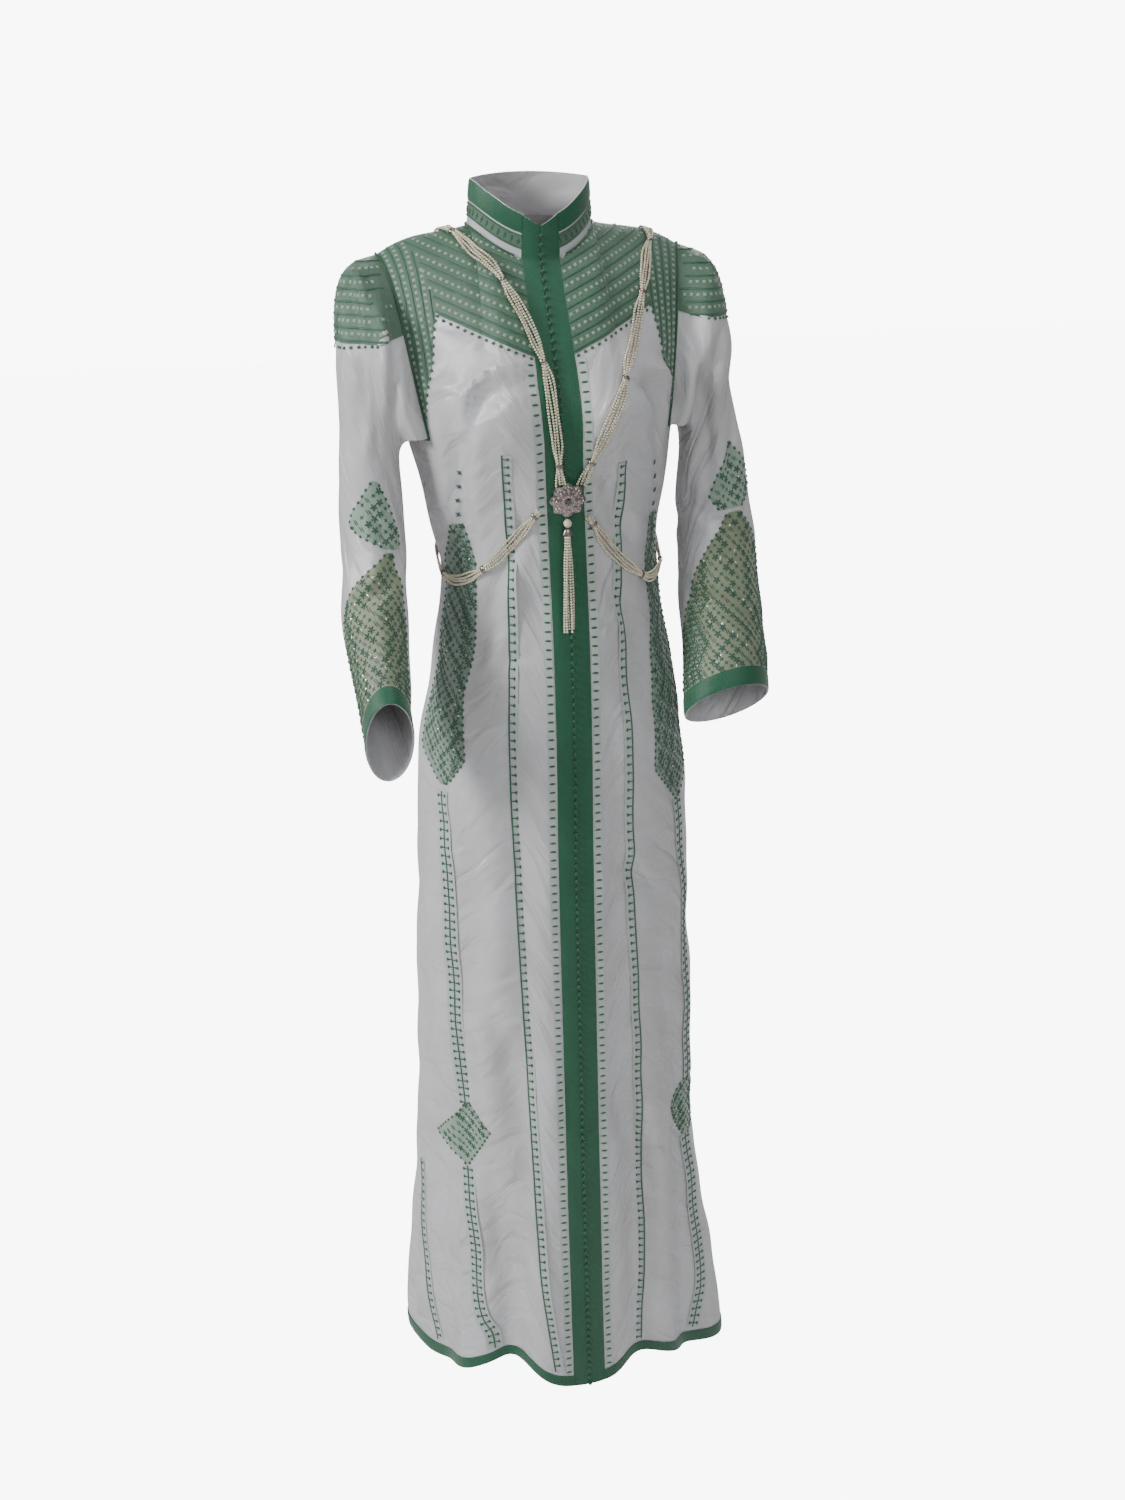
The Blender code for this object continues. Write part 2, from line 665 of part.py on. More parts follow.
def seen(tree, side, x, height):
    """The cloth's point and normal where a straight look from one side meets it. From the top,
    height is read as y."""
    start, way = {
        "front": ((x, -1, height), (0, 1, 0)),
        "back": ((x, 1, height), (0, -1, 0)),
        "top": ((x, height, 1), (0, 0, -1)),
    }[side]
    point, normal, _, _ = tree.ray_cast(Vector(start), Vector(way))
    return np.array(point), np.array(normal)


def smooth_path(points, step):
    """Points at about even steps on a curve through the given ones, with their share of the way."""
    points = np.array(points)
    padded = np.concatenate([[2 * points[0] - points[1]], points, [2 * points[-1] - points[-2]]])
    fine = []
    for i in range(len(points) - 1):
        a, b, c, d = padded[i : i + 4]
        for t in np.linspace(0, 1, 12, endpoint=False):
            bend, twist = 2 * a - 5 * b + 4 * c - d, 3 * b - a - 3 * c + d
            fine.append(0.5 * (2 * b + (c - a) * t + bend * t**2 + twist * t**3))
    fine = np.array(fine + [points[-1]])
    run = np.concatenate([[0], np.cumsum(np.linalg.norm(np.diff(fine[:, :3], axis=0), axis=1))])
    even = np.linspace(0, run[-1], max(2, round(run[-1] / step) + 1))
    return np.stack([np.interp(even, run, fine[:, k]) for k in range(fine.shape[1])], axis=1)


def pearl_band(name, tree, stations):
    """A bunch of pearl strands that lies on the cloth. Its points are set back onto the cloth's
    nearest place, and stand off by the lift between the stations."""
    path = smooth_path(stations, STRAND_STEP)
    points, normals = [], []
    for x, y, z, lift in path:
        place, normal, _, _ = tree.find_nearest(Vector((x, y, z)))
        normals.append(np.array(normal))
        points.append(np.array(place) + np.array(normal) * lift)
    normals = np.array(normals)
    for _ in range(3):
        normals[1:-1] = (normals[:-2] + 2 * normals[1:-1] + normals[2:]) / 4
    normals /= np.linalg.norm(normals, axis=1)[:, None]
    points = np.array(points)
    along = np.gradient(points, axis=0)
    across = np.cross(normals, along)
    across /= np.linalg.norm(across, axis=1)[:, None]
    return tube(name, points, across, normals, STRAND_HALF_WIDTH, STRAND_DEPTH, PEARL, BAND_PROFILE)


def frame_at(tree, x, height, side):
    """A point of the cloth with its right, upward and outward directions."""
    point, normal = seen(tree, side, x, height)
    around = [seen(tree, side, x + dx, height + dz)[1] for dx in (-0.012, 0.012) for dz in (-0.012, 0.012)]
    outward = normal + sum(around)
    outward /= np.linalg.norm(outward)
    right = np.cross((0, 0, 1), outward)
    right /= np.linalg.norm(right)
    return point, right, np.cross(outward, right), outward


def plate(name, place, outline, lift, depth, look):
    """A plate with a rounded edge, standing off the cloth by the lift. The outline is a row of points
    as far right and up as it goes, and each layer repeats it at its own size."""
    point, right, upward, outward = place
    flat = outline[:, :1] * right + outline[:, 1:] * upward
    rings = [point + flat * layer.size + outward * (lift + depth * layer.rise) for layer in PLATE_LAYERS]
    steps, top = len(outline), (len(rings) - 1) * len(outline)
    faces = []
    for low in range(0, top, steps):
        for step in range(steps):
            after = (step + 1) % steps
            faces.append((low + step, low + after, low + steps + after, low + steps + step))
    faces.append(tuple(range(steps))[::-1])
    faces.append(tuple(range(top, top + steps)))
    return make_object(name, np.concatenate(rings), faces, look)


def plate_outlines():
    """The brooch's round outline with its petals, and the clasp's rounded oblong."""
    turn = np.linspace(0, 2 * math.pi, PLATE_STEPS, endpoint=False)
    reach = BROOCH_RADIUS * (1 + PETAL_WAVE * np.cos(BROOCH_PETALS * turn))
    petals = np.stack([reach * np.cos(turn), reach * np.sin(turn)], axis=1)
    right = CLASP_HALF_WIDTH * signed_power(np.cos(turn), 0.5)
    upward = CLASP_HALF_HEIGHT * signed_power(np.sin(turn), 0.5)
    return petals, np.stack([right, upward], axis=1)


def bead(name, centre):
    mesh, work = bpy.data.meshes.new(name), bmesh.new()
    bmesh.ops.create_icosphere(work, subdivisions=2, radius=BEAD_RADIUS)
    made = add_object(name, work, mesh, PEARL)
    made.location = centre
    return made


def tassel(name, place):
    """A flat head with straight strands, drawn down from every second square of its foot."""
    cells = 2 * TASSEL_STRANDS + 1
    width = TASSEL_STRAND_WIDTH
    mesh, work = bpy.data.meshes.new(name), bmesh.new()
    bmesh.ops.create_grid(work, x_segments=cells, y_segments=3, size=1)
    for vertex in work.verts:
        vertex.co.x *= width * cells / 2
        vertex.co.y *= width * 1.5
    foot = [face for face in work.faces if abs(face.calc_center_median().y) < width / 2]
    foot.sort(key=lambda face: face.calc_center_median().x)
    top = bmesh.ops.extrude_face_region(work, geom=work.faces[:])["geom"]
    top = [item for item in top if isinstance(item, bmesh.types.BMVert)]
    for vertex in top:
        vertex.co.z += TASSEL_HEAD
        vertex.co.x *= TASSEL_HEAD_NARROWING
    for face in foot[1::2]:
        drawn = bmesh.ops.extrude_discrete_faces(work, faces=[face])["faces"][0]
        bmesh.ops.translate(work, verts=drawn.verts[:], vec=(0, 0, -TASSEL_LENGTH))
    bmesh.ops.recalc_face_normals(work, faces=work.faces[:])
    made = add_object(name, work, mesh, PEARL)
    made.location = place
    return made


def make_trims(grids, normals):
    """The green bands, knots and pipings, each from the points of the cloth under it, moved out."""
    low, high = TRIM_LIFT, TRIM_LIFT + TRIM
    flat = {name: grid for name, (grid, _) in grids.items()}
    collar, collar_normals = flat["collar"], normals["collar"]
    strips, strip_normals = {}, {}
    for side, word in ((1, "left"), (-1, "right")):
        ends = [0, 1, 2] if side < 0 else [-1, -2, -3]
        front, front_normals = flat["front_" + word], normals["front_" + word]
        strips[word] = np.concatenate([collar[:2, ends], front[:, :3]])
        strip_normals[word] = np.concatenate([collar_normals[:2, ends], front_normals[:, :3]])
        wall("placket_" + word, strips[word], strip_normals[word], side, low, high, GREEN)
    knots = join_columns(strips["right"][:, 1::-1], strips["left"][:, :2])
    knot_normals = join_columns(strip_normals["right"][:, 1::-1], strip_normals["left"][:, :2])
    bottom = high + 2 * TRIM_LIFT
    wall("knot_row", knots, knot_normals, 1, bottom, bottom + KNOT_DEPTH, GREEN)
    wall("collar_band", collar[:2, 2:-2], collar_normals[:2, 2:-2], -1, low, high, GREEN)
    hem = round_body(flat, slice(-2, None), 2)
    hem_normals = round_body(normals, slice(-2, None), 2)
    wall("hem_band", hem, hem_normals, -1, 1.6 * low, high, GREEN)
    for word, side in (("left", 1), ("right", -1)):
        name = "sleeve_" + word
        band, band_normals = flat[name][-2:], normals[name][-2:]
        wall("cuff_band_" + word, band, band_normals, grids[name][1], low, high, GREEN, closed=True)
        front, back = flat["front_" + word], flat["back_" + word]
        up, over = slice(YOKE_ROWS - 1, None, -1), slice(1, YOKE_ROWS - 3)
        loop = np.concatenate([front[up, -1], back[over, 0]])
        loop_normals = np.concatenate([normals["front_" + word][up, -1], normals["back_" + word][over, 0]])
        piping("armhole_piping_" + word, loop, loop_normals, GREEN)
    piping("neck_piping", collar[2, 3:-3], collar_normals[2, 3:-3], GREEN)


def make_harness(grids):
    """The pearl straps and belt, with the brooch, the tassel and the clasp at the back."""
    tree = cloth_tree(grids)
    for name, stations in (("strap_right", RIGHT_STRAP), ("strap_left", LEFT_STRAP)):
        path = [(*seen(tree, s.side, s.x, s.height)[0], s.lift) for s in stations]
        pearl_band(name, tree, path)
    for name, turns in (("belt_right", RIGHT_BELT), ("belt_left", LEFT_BELT)):
        path = [(*body_point(turn.angle, turn.height), turn.lift) for turn in turns]
        pearl_band(name, tree, path)
    place = frame_at(tree, *BROOCH_AT, "front")
    petals, oblong = plate_outlines()
    plate("brooch", place, petals, BROOCH_LIFT, BROOCH_DEPTH, CRYSTAL)
    plate("back_clasp", frame_at(tree, *CLASP_AT, "back"), oblong, CLASP_LIFT, CLASP_DEPTH, CRYSTAL)
    point, _, upward, outward = place
    hang = BROOCH_RADIUS * (1 + PETAL_WAVE) + BEAD_RADIUS + SEAM_GAP
    centre = point + outward * (BROOCH_LIFT + BEAD_RADIUS) - upward * hang
    bead("tassel_bead", centre)
    tassel("tassel", centre - np.array([0, 0, BEAD_RADIUS + TASSEL_HEAD + SEAM_GAP]))


def main():
    for old in list(bpy.data.objects):
        bpy.data.objects.remove(old)
    grids = cloth_surface()
    normals = shared_normals(grids)
    for name in ("front_left", "front_right", "side_left", "side_right"):
        grid, outward = grids[name]
        wall(name, grid, normals[name], outward, -CLOTH, 0.0, SATIN)
    back, back_normals = (
        join_columns(left, right[:, ::-1])
        for left, right in (
            (grids["back_left"][0], grids["back_right"][0]),
            (normals["back_left"], normals["back_right"]),
        )
    )
    wall("back", back, back_normals, 1, -CLOTH, 0.0, SATIN)
    for name in ("sleeve_left", "sleeve_right"):
        grid, outward = grids[name]
        wall(name, grid, normals[name], outward, -CLOTH, 0.0, SATIN, closed=True, gap=SLEEVE_GAP)
    grid, outward = grids["collar"]
    wall("collar", grid, normals["collar"], outward, -CLOTH, 0.0, SATIN, gap=SEAM_GAP)
    make_trims(grids, normals)
    make_harness(grids)


main()
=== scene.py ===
import math
from collections import namedtuple

import bmesh
import bpy
import numpy as np
from mathutils import Matrix, Vector
from mathutils.bvhtree import BVHTree


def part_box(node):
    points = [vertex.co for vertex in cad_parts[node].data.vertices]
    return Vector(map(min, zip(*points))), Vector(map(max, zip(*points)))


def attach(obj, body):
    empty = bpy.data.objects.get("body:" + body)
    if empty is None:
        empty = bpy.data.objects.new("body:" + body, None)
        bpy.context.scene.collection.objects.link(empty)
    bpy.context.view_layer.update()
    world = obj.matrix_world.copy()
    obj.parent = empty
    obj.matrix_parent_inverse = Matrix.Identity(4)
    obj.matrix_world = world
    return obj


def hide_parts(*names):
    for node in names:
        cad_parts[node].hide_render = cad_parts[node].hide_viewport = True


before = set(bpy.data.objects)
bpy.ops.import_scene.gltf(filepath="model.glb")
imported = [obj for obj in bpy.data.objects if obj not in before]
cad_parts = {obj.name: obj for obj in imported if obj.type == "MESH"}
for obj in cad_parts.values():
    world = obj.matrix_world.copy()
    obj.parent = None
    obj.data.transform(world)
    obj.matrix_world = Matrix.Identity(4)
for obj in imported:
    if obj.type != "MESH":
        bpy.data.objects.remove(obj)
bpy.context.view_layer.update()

# The camera stands in front of the wearer's right side, a little above the shoulders, and looks down.
# Its angles are in degrees, its distance and height in metres and its lens in millimetres.
CAMERA_TURN, CAMERA_PITCH, CAMERA_ROLL, CAMERA_PAN = -11.6, 21.3, -0.96, 0.78
CAMERA_DISTANCE, CAMERA_HEIGHT, CAMERA_LENS = 1.954, 0.1555, 42.14

turn, pitch = math.radians(CAMERA_TURN - CAMERA_PAN), math.radians(CAMERA_PITCH)
level_ahead = Vector((-math.sin(turn), math.cos(turn), 0))
ahead = level_ahead * math.cos(pitch) - Vector((0, 0, math.sin(pitch)))
camera_data = bpy.data.cameras.new("camera")
camera_data.lens = CAMERA_LENS
camera = bpy.data.objects.new("camera", camera_data)
bpy.context.scene.collection.objects.link(camera)
around = math.radians(CAMERA_TURN)
place = Vector((math.sin(around) * CAMERA_DISTANCE, -math.cos(around) * CAMERA_DISTANCE, CAMERA_HEIGHT))
facing = ahead.to_track_quat("-Z", "Y").to_matrix() @ Matrix.Rotation(math.radians(CAMERA_ROLL), 3, "Z")
camera.matrix_world = Matrix.Translation(place) @ facing.to_4x4()
bpy.context.scene.camera = camera

# The floor is plain and pale. The camera sees it and the backdrop as bright white paper, but they light
# the cloth only a little. Four soft lamps do, the strongest from the wearer's right.
FLOOR_HEIGHT, FLOOR_SIDE, FLOOR_NEAR, FLOOR_FAR = -1.50, 6, -5, 9
FLOOR_COLOUR = (0.80, 0.80, 0.80, 1)
SURROUND = (0.97, 0.98, 1.0, 1)
SURROUND_STRENGTH, PAPER_STRENGTH, FLOOR_PAPER_SHARE = 0.30, 9.0, 0.96

floor_mesh = bpy.data.meshes.new("floor")
floor_corners = [(-FLOOR_SIDE, FLOOR_NEAR, FLOOR_HEIGHT), (FLOOR_SIDE, FLOOR_NEAR, FLOOR_HEIGHT),
                 (FLOOR_SIDE, FLOOR_FAR, FLOOR_HEIGHT), (-FLOOR_SIDE, FLOOR_FAR, FLOOR_HEIGHT)]
floor_mesh.from_pydata(floor_corners, [], [(0, 1, 2, 3)])
floor = bpy.data.objects.new("floor", floor_mesh)
bpy.context.scene.collection.objects.link(floor)
floor_paint = bpy.data.materials.new("floor")
floor_paint.use_nodes = True
nodes, links = floor_paint.node_tree.nodes, floor_paint.node_tree.links
nodes["Principled BSDF"].inputs["Base Color"].default_value = FLOOR_COLOUR
nodes["Principled BSDF"].inputs["Roughness"].default_value = 0.8
paper, seen, share, mixed = (nodes.new("ShaderNode" + kind)
                             for kind in ("Emission", "LightPath", "Math", "MixShader"))
paper.inputs["Color"].default_value, paper.inputs["Strength"].default_value = SURROUND, PAPER_STRENGTH
share.operation, share.inputs[1].default_value = "MULTIPLY", FLOOR_PAPER_SHARE
for start, end in (
    (seen.outputs["Is Camera Ray"], share.inputs[0]),
    (share.outputs[0], mixed.inputs[0]),
    (nodes["Principled BSDF"].outputs[0], mixed.inputs[1]),
    (paper.outputs[0], mixed.inputs[2]),
    (mixed.outputs[0], nodes["Material Output"].inputs[0]),
):
    links.new(start, end)
floor_mesh.materials.append(floor_paint)

Lamp = namedtuple("Lamp", "name place size power")
LAMPS = (
    Lamp("left_light", (-2.6, -0.6, 0.9), 0.8, 96),
    Lamp("front_light", (0.3, -2.8, 1.0), 0.9, 24),
    Lamp("top_light", (0.4, -0.4, 2.2), 0.6, 22),
    Lamp("back_light", (1.2, 2.6, 1.2), 1.0, 46),
)
LAMPS_AIM = Vector((0, 0, -0.6))
for lamp in LAMPS:
    lamp_data = bpy.data.lights.new(lamp.name, "AREA")
    lamp_data.size, lamp_data.energy = lamp.size, lamp.power
    lamp_object = bpy.data.objects.new(lamp.name, lamp_data)
    lamp_object.location = lamp.place
    aim = LAMPS_AIM - Vector(lamp.place)
    lamp_object.rotation_euler = aim.to_track_quat("-Z", "Y").to_euler()
    bpy.context.scene.collection.objects.link(lamp_object)
surround = bpy.data.worlds.new("surround")
surround.use_nodes = True
surround.node_tree.nodes["Background"].inputs["Color"].default_value = SURROUND
nodes, links = surround.node_tree.nodes, surround.node_tree.links
seen, strength = nodes.new("ShaderNodeLightPath"), nodes.new("ShaderNodeMapRange")
strength.inputs["To Min"].default_value = SURROUND_STRENGTH
strength.inputs["To Max"].default_value = PAPER_STRENGTH
links.new(seen.outputs["Is Camera Ray"], strength.inputs["Value"])
links.new(strength.outputs[0], nodes["Background"].inputs["Strength"])
bpy.context.scene.world = surround

# The dress: two fronts, two side panels and a back, of white satin, sewn edge to edge. They hang from
# the shoulder seams and are shaped by the bust and the waist, with soft folds that deepen to the hem.
CLOTH_THICKNESS = 0.0009
UNDERARM, HEM, HEM_BAND = -0.212, -1.412, 0.015
PLACKET_HALF_WIDTH, KNOT_HALF_WIDTH = 0.0205, 0.0034
NECK_HALF_WIDTH, NECK_FRONT, NECK_BACK = 0.067, (-0.060, -0.034), (0.050, 0.004)
SHOULDER, SHOULDER_ROUND = (0.165, 0.004, -0.028), 0.011
FRONT_SEAM_TOP, FRONT_SEAM_HEM, BACK_SEAM_TOP, BACK_SEAM_HEM = 61.0, 55.0, 110.0, 86.0
FRONT_STEPS, SIDE_STEPS, BACK_STEPS, NECK_STEPS, YOKE_ROWS, SKIRT_ROWS = 10, 4, 10, 4, 9, 23
ACROSS, DOWN_YOKE, DOWN_SKIRT, HEM_ROWS = 4, 4, 9, 4
PLACKET_COLUMNS = 2 * ACROSS

Section = namedtuple("Section", "height centre half_width front back squareness")
BODY = (
    Section(-0.212, 0.005, 0.149, 0.128, 0.088, 2.2),
    Section(-0.290, 0.010, 0.135, 0.116, 0.078, 2.1),
    Section(-0.370, 0.014, 0.125, 0.109, 0.072, 2.0),
    Section(-0.450, 0.015, 0.134, 0.114, 0.092, 2.0),
    Section(-0.550, 0.014, 0.151, 0.124, 0.112, 2.1),
    Section(-0.680, 0.012, 0.163, 0.132, 0.116, 2.1),
    Section(-0.900, 0.012, 0.170, 0.140, 0.114, 2.1),
    Section(-1.120, 0.012, 0.175, 0.150, 0.120, 2.1),
    Section(-1.290, 0.012, 0.184, 0.160, 0.128, 2.1),
    Section(-1.412, 0.012, 0.192, 0.168, 0.134, 2.1),
)
Fold = namedtuple("Fold", "angle_top angle_hem starts depth width")
SKIRT_FOLDS = (
    Fold(26, 22, -0.78, -0.014, 9),
    Fold(44, 40, -0.70, 0.010, 10),
    Fold(54, 46, -0.74, -0.010, 8),
    Fold(72, 68, -1.10, 0.026, 13),
    Fold(92, 90, -0.80, -0.008, 10),
    Fold(108, 108, -0.60, -0.018, 12),
    Fold(132, 130, -0.58, 0.020, 11),
    Fold(156, 155, -0.55, -0.020, 11),
    Fold(180, 180, -0.60, 0.016, 10),
    Fold(-156, -154, -0.56, -0.020, 11),
    Fold(-130, -128, -0.58, 0.018, 12),
    Fold(-102, -96, -0.80, 0.016, 12),
    Fold(-76, -66, -0.80, -0.012, 10),
    Fold(-48, -30, -0.85, -0.018, 10),
    Fold(-20, -14, -0.90, 0.008, 9),
)
HemWave = namedtuple("HemWave", "angle lift width")
HEM_WAVES = (
    HemWave(-30, 0.034, 17),
    HemWave(24, 0.018, 14),
    HemWave(70, -0.024, 20),
    HemWave(-74, -0.012, 14),
    HemWave(180, -0.006, 60),
)
Bump = namedtuple("Bump", "x height out spread_x spread_z")
CUPS = (
    Bump(0.066, -0.190, 0.017, 0.042, 0.050),
    Bump(-0.066, -0.190, 0.017, 0.042, 0.050),
)

# Soft creases, each from one end to the other as seen from the front or the back. Each has a low ridge
# on both sides, whose share and distance in widths are below, and runs out past its ends.
Crease = namedtuple("Crease", "x1 z1 x2 z2 bend depth width")
RIDGE_SHARE, RIDGE_AWAY, RUN_OUT, END_DEPTH, FACING_GAIN = 0.35, 1.9, 1.5, 0.4, 2.5
FRONT_CREASES = (
    Crease(-0.100, -0.196, -0.012, -0.138, 0.034, 0.0052, 0.0065),
    Crease(-0.092, -0.212, -0.018, -0.154, 0.028, -0.0064, 0.0080),
    Crease(0.086, -0.142, 0.138, -0.190, 0.020, 0.0056, 0.0065),
    Crease(0.080, -0.158, 0.128, -0.204, 0.014, -0.0064, 0.0075),
    Crease(-0.058, -0.560, -0.074, -1.340, 0.012, -0.0060, 0.0160),
    Crease(0.060, -0.540, 0.086, -1.350, -0.010, -0.0060, 0.0160),
    Crease(-0.104, -0.700, -0.128, -1.380, -0.008, -0.0060, 0.0140),
    Crease(0.116, -0.700, 0.144, -1.380, 0.008, -0.0060, 0.0140),
    Crease(0.034, -0.210, 0.060, -0.240, 0.004, -0.0026, 0.0055),
    Crease(0.034, -0.250, 0.066, -0.272, 0.004, -0.0026, 0.0055),
    Crease(0.034, -0.420, 0.070, -0.436, 0.004, -0.0026, 0.0060),
    Crease(-0.032, -0.450, -0.070, -0.470, -0.004, -0.0026, 0.0060),
    Crease(-0.128, -0.110, -0.098, -0.330, 0.010, -0.0060, 0.0100),
    Crease(-0.104, -0.215, -0.080, -0.350, -0.006, -0.0042, 0.0080),
    Crease(-0.060, -0.345, -0.096, -0.490, 0.004, -0.0060, 0.0100),
    Crease(-0.036, -0.300, -0.070, -0.400, 0.000, -0.0036, 0.0080),
    Crease(0.050, -0.235, 0.096, -0.345, -0.008, -0.0045, 0.0090),
    Crease(0.100, -0.150, 0.126, -0.260, 0.006, -0.0045, 0.0090),
    Crease(0.060, -0.380, 0.104, -0.470, 0.006, -0.0045, 0.0090),
    Crease(0.050, -0.700, 0.110, -0.760, 0.008, -0.0045, 0.0120),
    Crease(-0.120, -0.660, -0.060, -0.700, -0.006, -0.0045, 0.0120),
    Crease(0.050, -1.000, 0.100, -1.180, 0.010, -0.0060, 0.0140),
    Crease(-0.100, -0.850, -0.070, -1.050, 0.008, -0.0048, 0.0130),
    Crease(-0.090, -1.120, -0.050, -1.330, -0.010, -0.0075, 0.0160),
)
BACK_CREASES = (
    Crease(0.010, -0.090, 0.060, -0.330, 0.012, -0.0044, 0.0120),
    Crease(-0.020, -0.110, -0.070, -0.320, -0.010, -0.0044, 0.0120),
    Crease(0.090, -0.240, 0.030, -0.300, 0.006, -0.0039, 0.0100),
    Crease(-0.090, -0.250, -0.020, -0.310, -0.006, -0.0039, 0.0100),
    Crease(-0.100, -0.300, -0.040, -0.350, -0.004, -0.0034, 0.0080),
    Crease(0.100, -0.310, 0.044, -0.352, 0.004, -0.0034, 0.0080),
    Crease(0.030, -0.380, 0.070, -0.520, 0.008, -0.0047, 0.0120),
    Crease(-0.030, -0.390, -0.074, -0.530, -0.008, -0.0047, 0.0120),
)
# Small unevenness of the whole cloth, as waves over it: metres across and down from crest to crest.
# They fade out towards the top of the yoke, and all relief fades towards the seams and the placket.
Ripple = namedtuple("Ripple", "across down height start")
BODY_RADIUS, RIPPLE_TOP, RIPPLE_FADE = 0.15, -0.05, 0.12
SEAM_FADE, PLACKET_CLEAR, PLACKET_FADE = 1.5, 1.6, 1.2
RIPPLES = (
    Ripple(0.110, 0.370, 0.0011, 0.4),
    Ripple(-0.170, 0.240, 0.0010, 2.1),
    Ripple(0.290, -0.130, 0.0009, 4.0),
    Ripple(0.067, 0.410, 0.0005, 1.3),
    Ripple(-0.094, -0.083, 0.0005, 5.2),
)


def smoothstep(value):
    """0 below 0 and 1 above 1, with 3t^2 - 2t^3 between."""
    t = np.clip(value, 0.0, 1.0)
    return t * t * (3 - 2 * t)


def signed_power(value, power):
    """The value's size raised to the power, with its own sign."""
    return np.sign(value) * np.abs(value) ** power


def smooth_table(places, values, at):
    """The values read between their places on cubic curves whose slopes follow the values' trend."""
    places, values = np.asarray(places, float), np.asarray(values, float)
    if places[0] > places[-1]:
        places, values = places[::-1], values[::-1]
    slopes = np.gradient(values, places)
    at = np.clip(at, places[0], places[-1])
    i = np.clip(np.searchsorted(places, at) - 1, 0, len(places) - 2)
    span = places[i + 1] - places[i]
    t = (at - places[i]) / span
    return (values[i] * (1 + 2 * t) * (1 - t) ** 2 + slopes[i] * span * t * (1 - t) ** 2
            + values[i + 1] * t * t * (3 - 2 * t) + slopes[i + 1] * span * t * t * (t - 1))


def section(column, height):
    """One column of the body table at these heights."""
    return smooth_table([row.height for row in BODY], [getattr(row, column) for row in BODY], height)


def bells(table, angle, size):
    """The sum of bell curves round the body: each row's size times exp(-(turn / width)^2)."""
    total = 0.0
    for row in table:
        turned = (angle - row.angle + 180) % 360 - 180
        total = total + getattr(row, size) * np.exp(-((turned / row.width) ** 2))
    return total


def skirt_fold(angle, height):
    """How far the folds move the cloth out. Each is a bell curve round the body that grows from its
    own starting height to the hem, as a smooth step."""
    moved = 0.0
    for fold in SKIRT_FOLDS:
        share = (fold.starts - height) / (fold.starts - HEM)
        centre = fold.angle_top + (fold.angle_hem - fold.angle_top) * np.clip(share, 0, 1)
        turned = (angle - centre + 180) % 360 - 180
        moved = moved + fold.depth * smoothstep(share) * np.exp(-((turned / fold.width) ** 2))
    return moved


def with_cups(points):
    """The points moved forwards by the bust: a bell curve in x and height for each side."""
    out = 0.0
    for bump in CUPS:
        out = out + bump.out * np.exp(-(((points[..., 0] - bump.x) / bump.spread_x) ** 2)
                                      - ((points[..., 2] - bump.height) / bump.spread_z) ** 2)
    moved = points.copy()
    moved[..., 1] -= np.where(points[..., 1] < 0, out, 0.0)
    return moved


def body_surface(angle, height, cups=True):
    """The cloth below the underarm: x is the centre plus the half width times sin(angle) to the power
    2 / squareness, y is minus the depth times cos(angle) to that power, and the folds move it out. The
    hem's waves fade upwards with the fifth power of the way down."""
    angle, height = np.broadcast_arrays(angle, height)
    height = height + bells(HEM_WAVES, angle, "lift") * ((UNDERARM - height) / (UNDERARM - HEM)) ** 5
    half_width, power = section("half_width", height), 2 / section("squareness", height)
    s, c = np.sin(np.radians(angle)), np.cos(np.radians(angle))
    depth = np.where(c > 0, section("front", height), section("back", height))
    points = np.stack([section("centre", height) + half_width * signed_power(s, power),
                       -depth * signed_power(c, power), height], axis=-1)
    outward = np.stack([s / half_width, -c / depth, np.zeros_like(s)], axis=-1)
    outward /= np.linalg.norm(outward, axis=-1, keepdims=True)
    points += outward * skirt_fold(angle, height)[..., None]
    return with_cups(points) if cups else points


def seam_angles(height):
    """The angles of the side-front and side-back seams at a height, which turn from those at the
    underarm to those at the hem with the way down to the power 0.6."""
    share = (np.clip(UNDERARM - height, 0, None) / (UNDERARM - HEM)) ** 0.6
    return (FRONT_SEAM_TOP + (FRONT_SEAM_HEM - FRONT_SEAM_TOP) * share,
            BACK_SEAM_TOP + (BACK_SEAM_HEM - BACK_SEAM_TOP) * share)


def panel_angle(panel, column, height):
    """The angle of a panel's column at a height. A front's columns are even from the placket's edge
    to the seam, with the knot strip's and the placket's own edges as columns 1 and 2."""
    front_seam, back_seam = seam_angles(height)
    if panel == "side":
        return front_seam + (back_seam - front_seam) * column / SIDE_STEPS
    if panel == "back":
        return back_seam + (180 - back_seam) * column / BACK_STEPS
    half_width, power = section("half_width", height), section("squareness", height) / 2
    knot, placket = (np.degrees(np.arcsin((width / half_width) ** power))
                     for width in (KNOT_HALF_WIDTH, PLACKET_HALF_WIDTH))
    inner = np.where(column < 1, knot * column, knot + (placket - knot) * (column - 1))
    return np.where(column < 2, inner, placket + (front_seam - placket) * (column - 2) / (FRONT_STEPS - 1))


